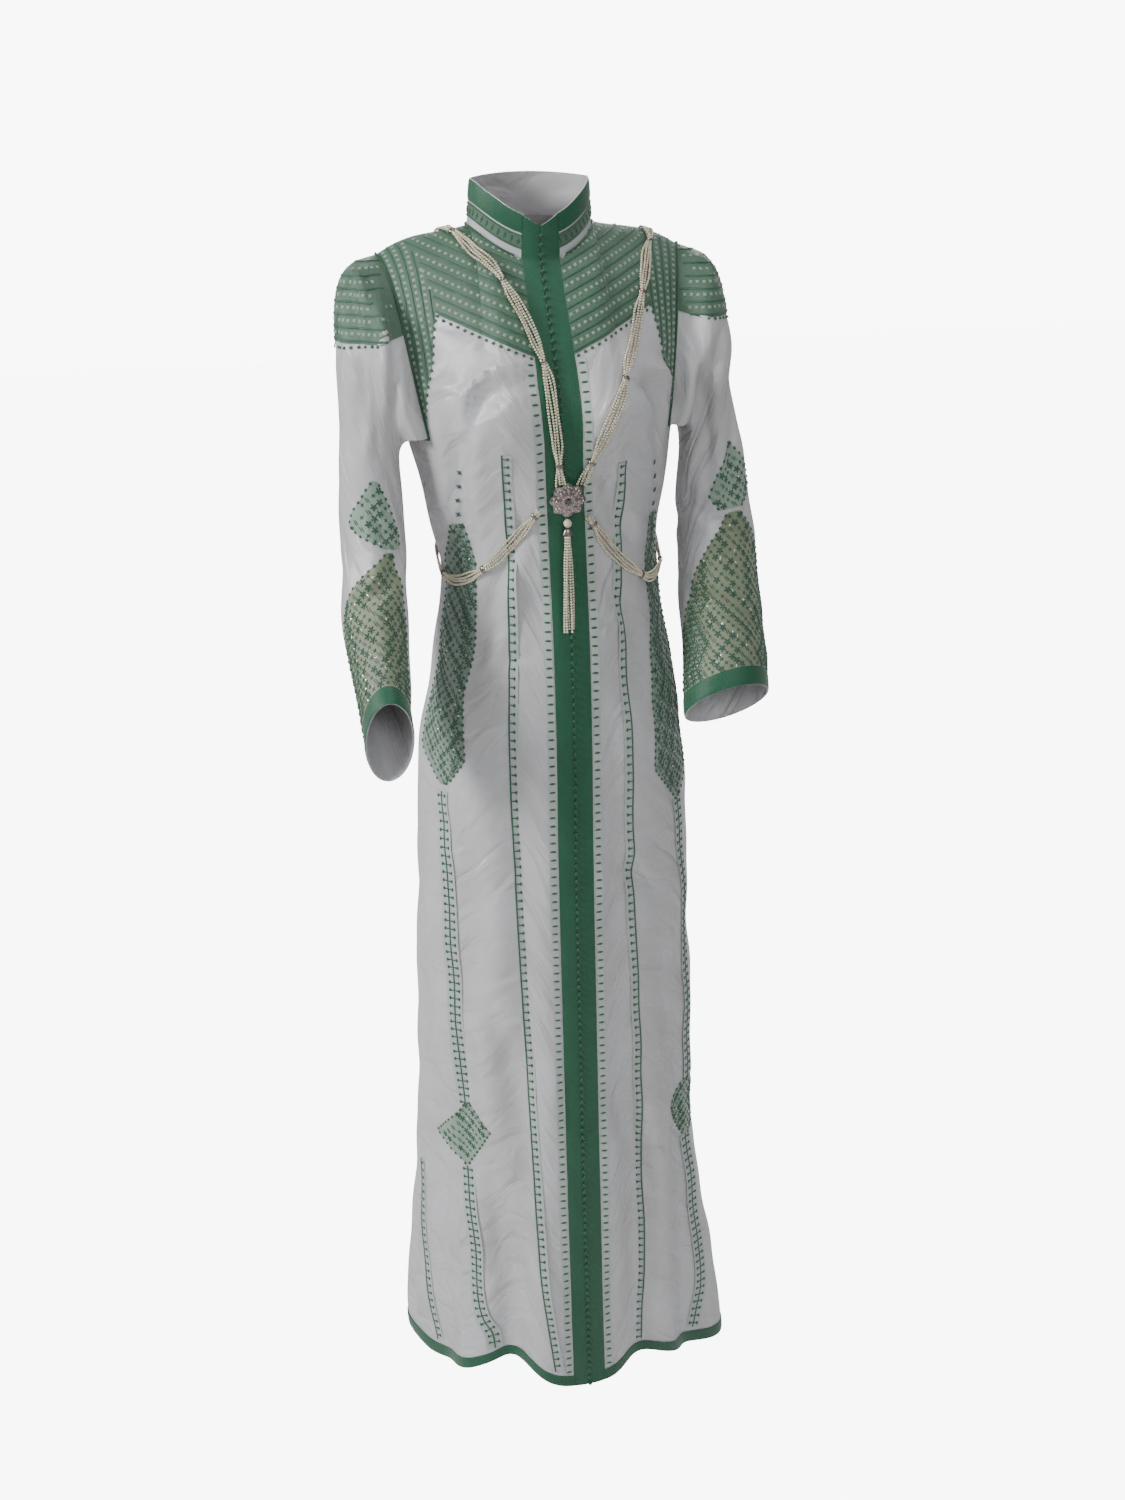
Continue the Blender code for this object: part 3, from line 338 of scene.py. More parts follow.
def top_edge(column, front):
    """The neckline, a quarter ellipse, and then the shoulder seam, a line with a small rise."""
    if front:
        knot, placket = (math.asin(width / NECK_HALF_WIDTH) / (math.pi / 2)
                         for width in (KNOT_HALF_WIDTH, PLACKET_HALF_WIDTH))
        share = np.interp(column, [0, 1, 2, NECK_STEPS + 1], [0, knot, placket, 1])
    else:
        share = np.clip(column / NECK_STEPS, 0, 1)
    y, z = NECK_FRONT if front else NECK_BACK
    quarter = share * math.pi / 2
    neck = np.stack([NECK_HALF_WIDTH * np.sin(quarter), y * np.cos(quarter), z * np.cos(quarter) ** 2],
                    axis=-1)
    t = np.clip((column - NECK_STEPS - front) / (FRONT_STEPS - NECK_STEPS), 0, 1)[:, None]
    seam = np.array([NECK_HALF_WIDTH, 0, 0]) * (1 - t) + np.array(SHOULDER) * t
    seam[:, 2] += (SHOULDER_ROUND * np.sin(math.pi * t) * t)[:, 0]
    return np.where(t > 0, seam, neck)


# How the yoke's curves leave the top edge, in metres: inwards at the armhole, and in y and z at the
# neck and at the shoulder. They arrive with the given share of their drop.
Lead = namedtuple("Lead", "inward y_neck y_shoulder z_neck z_shoulder")
FRONT_LEAD = Lead(0.012, -0.018, -0.052, -0.040, -0.012)
BACK_LEAD = Lead(0.006, 0.020, 0.046, -0.030, -0.010)
ARRIVAL_SHARE = 0.36


def yoke_surface(side, front, column, t):
    """The cloth from the top edge (t 0) to the underarm (t 1): each column is a cubic Bezier curve
    that leaves forwards or backwards and arrives along the cloth below."""
    last = FRONT_STEPS + 1 if front else BACK_STEPS
    start = top_edge(column, front) * [side, 1, 1]
    out = (column / last)[:, None]
    over = smoothstep((column - 1) / (NECK_STEPS + 1))[:, None]
    own = FRONT_LEAD if front else BACK_LEAD
    lead = np.concatenate([-side * own.inward * out, own.y_neck + (own.y_shoulder - own.y_neck) * over,
                           own.z_neck + (own.z_shoulder - own.z_neck) * over], axis=1)
    if front:
        angle = side * panel_angle("front", column, UNDERARM)
    else:
        angle = side * panel_angle("back", BACK_STEPS - column, UNDERARM)
    end = body_surface(angle, UNDERARM, cups=False)
    upward = end - body_surface(angle, UNDERARM - 0.01, cups=False)
    upward /= np.linalg.norm(upward, axis=-1, keepdims=True)
    drop = np.linalg.norm(end - start, axis=-1, keepdims=True)
    t = t[:, None, None]
    points = (start * (1 - t) ** 3 + 3 * (start + lead) * t * (1 - t) ** 2
              + 3 * (end + upward * drop * ARRIVAL_SHARE) * t * t * (1 - t) + end * t**3)
    return with_cups(points) if front else points


def skirt_surface(panel, side, column, row):
    """The cloth from the underarm row to the hem, with the hem band's upper edge one row above it."""
    last = YOKE_ROWS + SKIRT_ROWS - 1
    height = np.interp(row, [YOKE_ROWS, last, last + 1], [UNDERARM, HEM + HEM_BAND, HEM])[:, None]
    return body_surface(side * panel_angle(panel, column[None, :], height), height)


def crease_depth(points, normals, table, facing):
    """How far a table of creases moves the cloth. Each is a bell curve across a bowed line in the
    front or back view, deepest in its middle, on the cloth that faces that way."""
    total = np.zeros(points.shape[:-1])
    for crease in table:
        line = np.array([crease.x2 - crease.x1, crease.z2 - crease.z1])
        length = np.linalg.norm(line)
        line /= length
        off = points[..., (0, 2)] - [crease.x1, crease.z1]
        t = off @ line / length
        inside = np.clip(t, 0, 1)
        away = off @ [-line[1], line[0]] - crease.bend * 4 * inside * (1 - inside)
        past = (t - inside) * length
        trough = np.exp(-((away / crease.width) ** 2))
        ridges = np.exp(-((np.abs(away) / crease.width - RIDGE_AWAY) ** 2))
        shape = (trough - RIDGE_SHARE * ridges) * np.exp(-((past / (RUN_OUT * crease.width)) ** 2))
        total += crease.depth * shape * (END_DEPTH + (1 - END_DEPTH) * np.sin(math.pi * inside))
    return total * smoothstep(facing * normals[..., 1] * FACING_GAIN)


def ripple_height(across, down):
    """The sum of the ripples: each is its height times a sine over the way across and down."""
    total = 0.0
    for ripple in RIPPLES:
        turns = across / ripple.across + down / ripple.down
        total = total + ripple.height * np.sin(2 * math.pi * turns + ripple.start)
    return total


def square_corners(place):
    """The four corners of every square of a grid of point numbers, in order round the square."""
    return place[:-1, :-1], place[1:, :-1], place[1:, 1:], place[:-1, 1:]


def shared_normals(grids):
    """Each point's normal, summed over the squares of every grid that meets there."""
    every = np.concatenate([points.reshape(-1, 3) for points, _ in grids.values()])
    _, number = np.unique(np.round(every * 1e5).astype(np.int64), axis=0, return_inverse=True)
    number = number.reshape(-1)
    total = np.zeros((number.max() + 1, 3))
    start, places = 0, {}
    for name, (points, outward) in grids.items():
        places[name] = number[start : start + points[..., 0].size].reshape(points.shape[:2])
        start += points[..., 0].size
        normal = outward * np.cross(points[1:, 1:] - points[:-1, :-1], points[:-1, 1:] - points[1:, :-1])
        for corner in square_corners(places[name]):
            np.add.at(total, corner.ravel(), normal.reshape(-1, 3))
    total /= np.maximum(np.linalg.norm(total, axis=1, keepdims=True), 1e-12)
    return {name: total[place] for name, place in places.items()}


def lengths_over(points):
    """Metres across each row from its first point, and metres down each column."""
    across = np.linalg.norm(np.diff(points, axis=1), axis=-1)
    down = np.linalg.norm(np.diff(points, axis=0), axis=-1)
    return (np.pad(np.cumsum(across, axis=1), ((0, 0), (1, 0))),
            np.pad(np.cumsum(down, axis=0), ((1, 0), (0, 0))))


SHARP_ANGLE = 42


def mesh_object(name, points, faces, sizes, material, uv=None):
    """An object from whole arrays: points, the faces' corners one after another, and the number of
    corners of each face. uv has one place for each corner. Edges sharper than the angle stay sharp."""
    mesh = bpy.data.meshes.new(name)
    mesh.vertices.add(len(points))
    mesh.vertices.foreach_set("co", np.asarray(points, np.float32).ravel())
    mesh.loops.add(len(faces))
    mesh.loops.foreach_set("vertex_index", np.asarray(faces, np.int32))
    mesh.polygons.add(len(sizes))
    mesh.polygons.foreach_set("loop_start", np.concatenate([[0], np.cumsum(sizes)[:-1]]).astype(np.int32))
    mesh.update(calc_edges=True)
    if uv is not None:
        mesh.uv_layers.new(name="cloth").data.foreach_set("uv", np.asarray(uv, np.float32).ravel())
    mesh.validate()
    mesh.shade_smooth()
    mesh.set_sharp_from_angle(angle=math.radians(SHARP_ANGLE))
    mesh.materials.append(material)
    made = bpy.data.objects.new(name, mesh)
    bpy.context.scene.collection.objects.link(made)
    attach(made, "root")
    return made


def shell(name, points, normals, outward, low, high, material, closed=False):
    """A thin closed sheet between two copies of a grid, moved along its normals by low and by high,
    which may be arrays. A closed grid's last column is its first one again."""
    rows, columns = points.shape[:2]
    low, high = (np.broadcast_to(lift, (rows, columns))[..., None] for lift in (low, high))
    both = np.concatenate([(points + normals * high).reshape(-1, 3), (points + normals * low).reshape(-1, 3)])
    place = np.arange(rows * columns).reshape(rows, columns)
    corners = square_corners(place)
    quads = np.stack([corner.ravel() for corner in (corners if outward > 0 else corners[::-1])], axis=1)
    rims = [place[0], place[-1][::-1]] + ([] if closed else [place[:, 0][::-1], place[:, -1]])
    size = rows * columns
    rim = np.concatenate([np.stack([r[:-1], r[1:], r[1:] + size, r[:-1] + size], axis=1) for r in rims])
    faces = np.concatenate([quads, quads[:, ::-1] + size, rim if outward > 0 else rim[:, ::-1]]).ravel()
    across, down = lengths_over(points)
    uv = np.tile(np.stack([across.ravel(), down.ravel()], axis=1), (2, 1))[faces]
    if closed:
        joined = np.arange(2 * size).reshape(2, rows, columns)
        joined[:, :, -1] = joined[:, :, 0]
        faces = joined.ravel()[faces]
    made = mesh_object(name, both, faces, np.full(len(faces) // 4, 4), material, uv)
    return drop_loose(made) if closed else made


def drop_loose(made):
    """The object without the points that no face uses."""
    work = bmesh.new()
    work.from_mesh(made.data)
    bmesh.ops.delete(work, geom=[v for v in work.verts if not v.link_faces], context="VERTS")
    work.to_mesh(made.data)
    work.free()
    return made


def add_node(tree, kind, inputs=None, **settings):
    """A shader node with its settings, its input values and its links from other nodes' outputs."""
    node = tree.nodes.new(kind)
    for setting, value in settings.items():
        setattr(node, setting, value)
    for socket, value in (inputs or {}).items():
        if isinstance(value, bpy.types.NodeSocket):
            tree.links.new(value, node.inputs[socket])
        else:
            node.inputs[socket].default_value = value
    return node


def new_group(name, inputs, outputs):
    """A node group with these sockets, its input node and its output node."""
    group = bpy.data.node_groups.new(name, "ShaderNodeTree")
    for direction, sockets in (("INPUT", inputs), ("OUTPUT", outputs)):
        for socket, kind in sockets:
            group.interface.new_socket(socket, in_out=direction, socket_type=kind)
    return group, group.nodes.new("NodeGroupInput"), group.nodes.new("NodeGroupOutput")


def new_material(name, **values):
    """A material with these values on its shader, and its node tree and shader."""
    material = bpy.data.materials.new(name)
    material.use_nodes = True
    shader = material.node_tree.nodes["Principled BSDF"]
    for socket, value in values.items():
        shader.inputs[socket.replace("_", " ")].default_value = value
    return material, material.node_tree, shader


def two_tones(tree, share, dark, light):
    """The output of a mix of two colours, dark where the share is 0 and light where it is 1."""
    return add_node(tree, "ShaderNodeMix", {0: share, 6: dark, 7: light}, data_type="RGBA").outputs[2]


def ranged(tree, share, low, high, taken=(0.0, 1.0)):
    """The output of a share, of which the part between two values is spread between low and high."""
    inputs = {"Value": share, "From Min": taken[0], "From Max": taken[1], "To Min": low, "To Max": high}
    return add_node(tree, "ShaderNodeMapRange", inputs).outputs[0]


def maths(tree, operation, first, second):
    """The output of one operation on two values."""
    return add_node(tree, "ShaderNodeMath", {0: first, 1: second}, operation=operation).outputs[0]


def raised(tree, height, strength, distance):
    """The output of a bump that stands up by the distance where the height is 1."""
    inputs = {"Height": height, "Strength": strength, "Distance": distance}
    return add_node(tree, "ShaderNodeBump", inputs).outputs[0]


def wire(tree, node, **sources):
    """Links from outputs to the sockets of a node that have these names."""
    for socket, source in sources.items():
        tree.links.new(source, node.inputs[socket.replace("_", " ")])


def object_texture(tree, kind, scale, output="Fac", **inputs):
    """The output of a texture of this kind over the object's own place in metres."""
    near = add_node(tree, "ShaderNodeTexCoord")
    inputs = {"Vector": near.outputs["Object"], "Scale": scale, **inputs}
    return add_node(tree, "ShaderNodeTex" + kind, inputs).outputs[output]


# Satin: long floats of thread, so it is smooth across and finely lined down the cloth. The group puts
# out its uneven tone, which is partly painted reflection, and the height of its weave and small puckers,
# from metres over the cloth.
LINE_SHARE = 0.014
# The satin's two tones, mixed at random over the cloth: a warmer darker grey and a cooler lighter one. They
# are partly painted reflection of the surroundings.
SATIN_DARK, SATIN_LIGHT = (0.478, 0.470, 0.475, 1), (0.552, 0.558, 0.580, 1)
weave, weave_in, weave_out = new_group(
    "satin_weave", [("Place", "NodeSocketVector")],
    [("Tone", "NodeSocketFloat"), ("Height", "NodeSocketFloat"), ("Shine", "NodeSocketFloat")])
over = weave_in.outputs["Place"]
broad = add_node(weave, "ShaderNodeTexNoise", {"Vector": over, "Scale": 14.0, "Detail": 3.0})
stretched = add_node(weave, "ShaderNodeMapping", {"Vector": over, "Scale": (19.0, 29.0, 1.0)})
puckers = add_node(weave, "ShaderNodeTexNoise", {"Vector": stretched.outputs[0], "Scale": 1.0, "Detail": 2.0,
                                                 "Roughness": 0.4, "Distortion": 0.8}).outputs["Fac"]
lines = add_node(weave, "ShaderNodeTexWave", {"Vector": over, "Scale": 420.0, "Distortion": 1.5,
                                              "Detail": 2.0, "Detail Scale": 3.0})
small_lines = maths(weave, "MULTIPLY", lines.outputs["Fac"], LINE_SHARE)
wire(weave, weave_out, Tone=ranged(weave, broad.outputs["Fac"], 0.0, 1.0, (0.3, 0.7)),
     Height=maths(weave, "ADD", puckers, small_lines), Shine=ranged(weave, puckers, 0.26, 0.38, (0.3, 0.7)))

satin, tree, shader = new_material("white_satin", Sheen_Weight=0.12, Sheen_Roughness=0.35,
                                   Specular_IOR_Level=0.85)
cloth_uv = add_node(tree, "ShaderNodeUVMap", uv_map="cloth")
woven = add_node(tree, "ShaderNodeGroup", {"Place": cloth_uv.outputs[0]}, node_tree=weave)
# The cloth's colour is its uneven tone, with painted reflection in its warm dark and cool light tints.
wire(tree, shader, Base_Color=two_tones(tree, woven.outputs["Tone"], SATIN_DARK, SATIN_LIGHT),
     Roughness=woven.outputs["Shine"], Normal=raised(tree, woven.outputs["Height"], 0.8, 0.0085))

# Row and column numbers of the grids' points. The hem band is the last row.
rows_down = np.concatenate([np.arange(YOKE_ROWS * DOWN_YOKE) / DOWN_YOKE,
                            YOKE_ROWS + np.arange((SKIRT_ROWS - 1) * DOWN_SKIRT) / DOWN_SKIRT,
                            YOKE_ROWS + SKIRT_ROWS - 1 + np.arange(HEM_ROWS) / (HEM_ROWS - 1)])
skirt_down = rows_down[rows_down >= YOKE_ROWS]
yoke_down = rows_down[rows_down < YOKE_ROWS] / YOKE_ROWS
front_columns = np.arange((FRONT_STEPS + 1) * ACROSS + 1) / ACROSS
side_columns = np.arange(SIDE_STEPS * ACROSS + 1) / ACROSS
back_columns = np.arange(BACK_STEPS * ACROSS + 1) / ACROSS

smooth_grids = {}
for side, word in ((1, "left"), (-1, "right")):
    smooth_grids["front_" + word] = (np.concatenate([
        yoke_surface(side, 1, front_columns, yoke_down),
        skirt_surface("front", side, front_columns, skirt_down)]), side)
    smooth_grids["side_" + word] = (skirt_surface("side", side, side_columns, skirt_down), side)
    smooth_grids["back_" + word] = (np.concatenate([
        yoke_surface(side, 0, back_columns, yoke_down)[:, ::-1],
        skirt_surface("back", side, back_columns, skirt_down)]), side)
smooth_normals = shared_normals(smooth_grids)

Panel = namedtuple("Panel", "points normals outward rows columns")
panels, grids = {}, {}
for name, (points, outward) in smooth_grids.items():
    normals = smooth_normals[name]
    angle = np.arctan2(points[..., 0], -points[..., 1])
    moved = (crease_depth(points, normals, FRONT_CREASES, -1) + crease_depth(points, normals, BACK_CREASES, 1)
             + ripple_height(angle * BODY_RADIUS, points[..., 2])
             * smoothstep((RIPPLE_TOP - points[..., 2]) / RIPPLE_FADE))
    at = np.arange(points.shape[1]) / ACROSS
    if name.startswith("side"):
        moved *= smoothstep((skirt_down - YOKE_ROWS) / SEAM_FADE)[:, None]
    else:
        from_armhole = (FRONT_STEPS + 1 - at) if name.startswith("front") else at
        above = smoothstep((YOKE_ROWS + SEAM_FADE - rows_down) / SEAM_FADE)[:, None]
        moved *= 1 - above * (1 - smoothstep(from_armhole / SEAM_FADE))[None, :]
    if name.startswith("front"):
        moved *= smoothstep((at - PLACKET_CLEAR) / PLACKET_FADE)[None, :]
    grids[name] = (points + normals * moved[..., None], outward)
body_normals = shared_normals(grids)
for name, (points, outward) in grids.items():
    columns = {"front": front_columns, "side": side_columns, "back": back_columns}[name.split("_")[0]]
    rows = skirt_down if name.startswith("side") else rows_down
    panels[name] = Panel(points, body_normals[name], outward, rows, columns)

for name, flat, area in (("front", (0.22, 1.46), 0.235), ("side", (0.12, 1.22), 0.110)):
    for word in ("right", "left"):
        panel = panels[f"{name}_{word}"]
        made = shell(f"cloth_{name}_{word}", panel.points, panel.normals, panel.outward,
                     -CLOTH_THICKNESS, 0.0, satin)
        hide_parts(f"{name}_{word}")
left, right = panels["back_left"], panels["back_right"]
back_points = np.concatenate([left.points, right.points[:, ::-1][:, 1:]], axis=1)
back_normals = np.concatenate([left.normals, right.normals[:, ::-1][:, 1:]], axis=1)
made = shell("cloth_back", back_points, back_normals, 1, -CLOTH_THICKNESS, 0.0, satin)
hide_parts("back")

# The sleeves: one piece each, sewn shut under the arm and set into the armhole. They keep the bend of
# the worn arm, loose at the elbow and open at the cuff, with deep soft folds hanging from the cap.
CUFF_BAND = 0.021
SLEEVE_ROWS, DOWN_SLEEVE, SLEEVE_COLUMNS, OUTLINE_RINGS = 13, 8, 22, 6
SLEEVE_X, SLEEVE_Y, SLEEVE_RADIUS = 0.19, -0.03, 0.05
Ring = namedtuple("Ring", "under_x under_z top_x top_z middle_y half_depth tilt")
LEFT_SLEEVE = (
    Ring(0.158, -0.2135, 0.186, -0.038, -0.021, 0.061, 0),
    Ring(0.162, -0.2160, 0.202, -0.061, -0.021, 0.060, 0),
    Ring(0.165, -0.2210, 0.213, -0.092, -0.021, 0.058, 0),
    Ring(0.166, -0.230, 0.217, -0.142, -0.022, 0.056, 0),
    Ring(0.166, -0.245, 0.222, -0.197, -0.023, 0.053, 0),
    Ring(0.164, -0.275, 0.231, -0.255, -0.026, 0.051, 3),
    Ring(0.161, -0.320, 0.240, -0.308, -0.032, 0.050, 7),
    Ring(0.158, -0.363, 0.246, -0.355, -0.041, 0.050, 12),
    Ring(0.156, -0.404, 0.249, -0.397, -0.053, 0.050, 19),
    Ring(0.154, -0.443, 0.250, -0.434, -0.067, 0.050, 26),
    Ring(0.151, -0.481, 0.248, -0.468, -0.083, 0.050, 34),
    Ring(0.148, -0.517, 0.246, -0.499, -0.101, 0.049, 42),
)
RIGHT_SLEEVE = (
    Ring(0.148, -0.2135, 0.187, -0.033, -0.021, 0.061, 0),
    Ring(0.152, -0.2160, 0.204, -0.055, -0.021, 0.060, 0),
    Ring(0.155, -0.2210, 0.213, -0.092, -0.021, 0.058, 0),
    Ring(0.157, -0.230, 0.216, -0.142, -0.022, 0.056, 0),
    Ring(0.157, -0.245, 0.218, -0.197, -0.023, 0.053, 0),
    Ring(0.156, -0.275, 0.221, -0.257, -0.026, 0.051, 3),
    Ring(0.155, -0.320, 0.224, -0.311, -0.034, 0.050, 9),
    Ring(0.156, -0.362, 0.228, -0.360, -0.047, 0.050, 19),
    Ring(0.158, -0.402, 0.231, -0.402, -0.065, 0.051, 32),
    Ring(0.161, -0.438, 0.230, -0.438, -0.087, 0.052, 46),
    Ring(0.166, -0.472, 0.227, -0.471, -0.115, 0.053, 60),
    Ring(0.171, -0.503, 0.223, -0.502, -0.147, 0.053, 72),
)
SLEEVE_FRONT_CREASES = (
    Crease(-0.199, -0.060, -0.201, -0.205, 0.003, -0.0092, 0.0075),
    Crease(-0.180, -0.052, -0.184, -0.225, -0.002, -0.0076, 0.0085),
    Crease(-0.161, -0.060, -0.166, -0.190, 0.002, -0.0069, 0.0060),
    Crease(-0.205, -0.270, -0.180, -0.340, 0.006, -0.0046, 0.0080),
    Crease(-0.165, -0.330, -0.215, -0.385, 0.004, -0.0040, 0.0080),
    Crease(0.160, -0.105, 0.180, -0.280, 0.006, -0.0080, 0.0080),
    Crease(0.203, -0.105, 0.160, -0.230, -0.004, -0.0080, 0.0080),
    Crease(0.215, -0.150, 0.200, -0.320, 0.004, -0.0057, 0.0080),
    Crease(0.165, -0.300, 0.225, -0.350, 0.005, -0.0046, 0.0090),
    Crease(0.160, -0.400, 0.230, -0.440, 0.006, -0.0046, 0.0090),
)
SLEEVE_BACK_CREASES = (
    Crease(-0.180, -0.070, -0.190, -0.230, 0.004, -0.0060, 0.0090),
    Crease(-0.205, -0.100, -0.190, -0.300, 0.004, -0.0050, 0.0090),
    Crease(0.176, -0.070, 0.190, -0.240, 0.004, -0.0060, 0.0090),
    Crease(0.210, -0.120, 0.200, -0.310, 0.004, -0.0050, 0.0090),
    Crease(-0.160, -0.330, -0.215, -0.360, 0.005, -0.0050, 0.0100),
    Crease(0.165, -0.330, 0.235, -0.370, 0.005, -0.0050, 0.0100),
)


def between_rows(rows, at):
    """Rows read between their own numbers on Catmull-Rom curves through them."""
    padded = np.concatenate([2 * rows[:1] - rows[1:2], rows, 2 * rows[-1:] - rows[-2:-1]])
    i = np.minimum(at.astype(int), len(rows) - 2)
    t = (at - i)[:, None, None]
    a, b, c, d = padded[i], padded[i + 1], padded[i + 2], padded[i + 3]
    return 0.5 * (2 * b + (c - a) * t + (2 * a - 5 * b + 4 * c - d) * t**2 + (3 * b - a - 3 * c + d) * t**3)


def sleeve_surface(loop, rings, side, at):
    """Rows from the armhole to the cuff. Each ring changes from the armhole's own outline, scaled to
    the ring, into an ellipse between its under point and its top point."""
    centre = (loop[0] + loop[len(loop) // 2]) / 2
    outer = (loop[0] - centre) / np.linalg.norm(loop[0] - centre)
    front = np.array([0.0, -1.0, 0.0])
    front -= outer * (front @ outer)
    front /= np.linalg.norm(front)
    local = (loop - centre) @ np.array([front, outer, np.cross(front, outer)]).T
    local -= (local.max(0) + local.min(0)) / 2
    around, reach = np.arctan2(local[:, 1], local[:, 0]), local.max(0)
    rows = [loop]
    for number, ring in enumerate(rings, 1):
        under = np.array([side * ring.under_x, ring.middle_y, ring.under_z])
        top = np.array([side * ring.top_x, ring.middle_y, ring.top_z])
        half = np.linalg.norm(top - under) / 2
        outer = (top - under) / (2 * half)
        tilt = math.radians(ring.tilt)
        front = np.array([0.0, -math.cos(tilt), math.sin(tilt)])
        front -= outer * (front @ outer)
        front /= np.linalg.norm(front)
        own = float(smoothstep(1 - number / OUTLINE_RINGS))
        across = ring.half_depth * (own * local[:, 0] / reach[0] + (1 - own) * np.cos(around))
        upward = half * (own * local[:, 1] / reach[1] + (1 - own) * np.sin(around))
        off = local[:, 2] * own * own
        rows.append((under + top) / 2 + np.outer(across, front) + np.outer(upward, outer)
                    + np.outer(off, np.cross(front, outer)))
    along = (rows[-1] - rows[-2]).mean(0)
    rows.append(rows[-1] + along / np.linalg.norm(along) * CUFF_BAND)
    return between_rows(np.array(rows), at)


def side_grids(word, part):
    """The points or the normals of one side's front, side panel and back."""
    return (getattr(panels[f"{name}_{word}"], part) for name in ("front", "side", "back"))


def armhole_loop(word, part):
    """The armhole's edge: down the front, across the side panel and up the back."""
    front, side_panel, back = side_grids(word, part)
    deep = YOKE_ROWS * DOWN_YOKE
    return np.concatenate([front[: deep + 1, -1], side_panel[0, 1:], back[:deep, 0][::-1]])


sleeve_down = np.arange(SLEEVE_ROWS * DOWN_SLEEVE + 1) / DOWN_SLEEVE
for side, word, rings in ((1, "left", LEFT_SLEEVE), (-1, "right", RIGHT_SLEEVE)):
    smooth = sleeve_surface(armhole_loop(word, "points"), rings, side, sleeve_down)
    normals = shared_normals({"sleeve": (smooth, -side)})["sleeve"]
    angle = np.arctan2(smooth[..., 1] - SLEEVE_Y, smooth[..., 0] - side * SLEEVE_X)
    moved = (crease_depth(smooth, normals, SLEEVE_FRONT_CREASES, -1)
             + crease_depth(smooth, normals, SLEEVE_BACK_CREASES, 1)
             + ripple_height(angle * SLEEVE_RADIUS, smooth[..., 2]))
    moved *= (smoothstep(sleeve_down) * (1 - smoothstep(sleeve_down - (SLEEVE_ROWS - 2))))[:, None]
    points = smooth + normals * moved[..., None]
    normals = shared_normals({"sleeve": (points, -side)})["sleeve"]
    name = "sleeve_" + word
    panels[name] = Panel(points, normals, -side, sleeve_down, np.linspace(0, SLEEVE_COLUMNS, points.shape[1]))
    made = shell("cloth_" + name, points, normals, -side, -CLOTH_THICKNESS, 0.0, satin, closed=True)
    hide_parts(name)

# The stand collar: a stiff band of satin, sewn to the neckline and open in front, so it dips in a
# notch at the centre. The green band round its top is a piece of its own.
COLLAR_HEIGHT, COLLAR_BAND, COLLAR_LEAN_IN, COLLAR_LEAN_FORWARD = 0.046, 0.021, 0.004, 0.10
COLLAR_FRONT_DROPS = (0.011, 0.0095, 0.0025, 0.0)
COLLAR_THICKNESS, COLLAR_ROWS, COLLAR_BAND_ROWS = 0.0013, 14, 7
neck_columns = (NECK_STEPS + 1) * ACROSS
base = np.concatenate([
    panels["front_right"].points[0, : neck_columns + 1],
    panels["back_right"].points[0, (BACK_STEPS - NECK_STEPS) * ACROSS + 1 :],
    panels["back_left"].points[0, (BACK_STEPS - NECK_STEPS) * ACROSS : -1][::-1],
    panels["front_left"].points[0, :neck_columns][::-1],
])
lift = np.linspace(COLLAR_HEIGHT, 0, COLLAR_ROWS)[:, None, None]
inward = (np.array([0.0, (NECK_FRONT[0] + NECK_BACK[0]) / 2, 0.0]) - base) * [1, 1, 0]
inward /= np.linalg.norm(inward, axis=1, keepdims=True)
collar_points = base + inward * COLLAR_LEAN_IN * lift / COLLAR_HEIGHT + lift * [0, -COLLAR_LEAN_FORWARD, 1]
from_front = np.minimum(np.arange(len(base)), np.arange(len(base))[::-1]) / ACROSS
drops = np.interp(from_front, range(len(COLLAR_FRONT_DROPS)), COLLAR_FRONT_DROPS)
collar_points[..., 2] -= drops * np.clip((lift[..., 0] - COLLAR_HEIGHT + COLLAR_BAND) / COLLAR_BAND, 0, 1)
collar_normals = shared_normals({"collar": (collar_points, -1)})["collar"]
panels["collar"] = Panel(collar_points, collar_normals, -1, np.linspace(0, 2, COLLAR_ROWS),
                         np.arange(len(base)) / ACROSS)
made = shell("cloth_collar", collar_points, collar_normals, -1, -COLLAR_THICKNESS, 0.0, satin)
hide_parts("collar")

# The green braid: flat silk bands woven with a slanting rib, sewn on along both edges. The placket is
# two of them side by side from the collar to the hem, and others go round the collar, cuffs and hem.
BRAID_THICKNESS, BRAID_LIFT, BRAID_EDGE, HEM_FOLD = 0.0012, 0.0002, 0.35, 0.5
BRAID_DARK, BRAID_LIGHT = (0.003, 0.062, 0.026, 1), (0.009, 0.142, 0.062, 1)
braid, tree, shader = new_material("green_braid", Sheen_Weight=0.25, Roughness=0.5, Specular_IOR_Level=0.4)
over = add_node(tree, "ShaderNodeUVMap", uv_map="cloth").outputs[0]
ribs = add_node(tree, "ShaderNodeTexWave", {"Vector": over, "Scale": 190.0, "Distortion": 0.8},
                bands_direction="DIAGONAL").outputs["Fac"]
threads, blotch = (add_node(tree, "ShaderNodeTexNoise", {"Vector": over, "Scale": scale}).outputs["Fac"]
                   for scale in (900.0, 22.0))
wire(tree, shader, Base_Color=two_tones(tree, maths(tree, "MULTIPLY", ribs, blotch), BRAID_DARK, BRAID_LIGHT),
     Roughness=ranged(tree, threads, 0.35, 0.62),
     Normal=raised(tree, maths(tree, "ADD", threads, ribs), 0.5, 0.0004))


def braid_band(name, points, normals, outward, middle, node, closed=False):
    """A braid over the cloth's own points: middle is 0 at its sewn edges and 1 along its middle. Its top
    stands off by the lift and its thickness, of which the edges keep a share and the rest grows with the
    root of middle."""
    high = BRAID_LIFT + BRAID_THICKNESS * (BRAID_EDGE + (1 - BRAID_EDGE) * np.sqrt(np.clip(middle, 0, 1)))
    made = shell(name, points, normals, outward, BRAID_LIFT, high, braid, closed=closed)
    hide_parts(node)
    return made


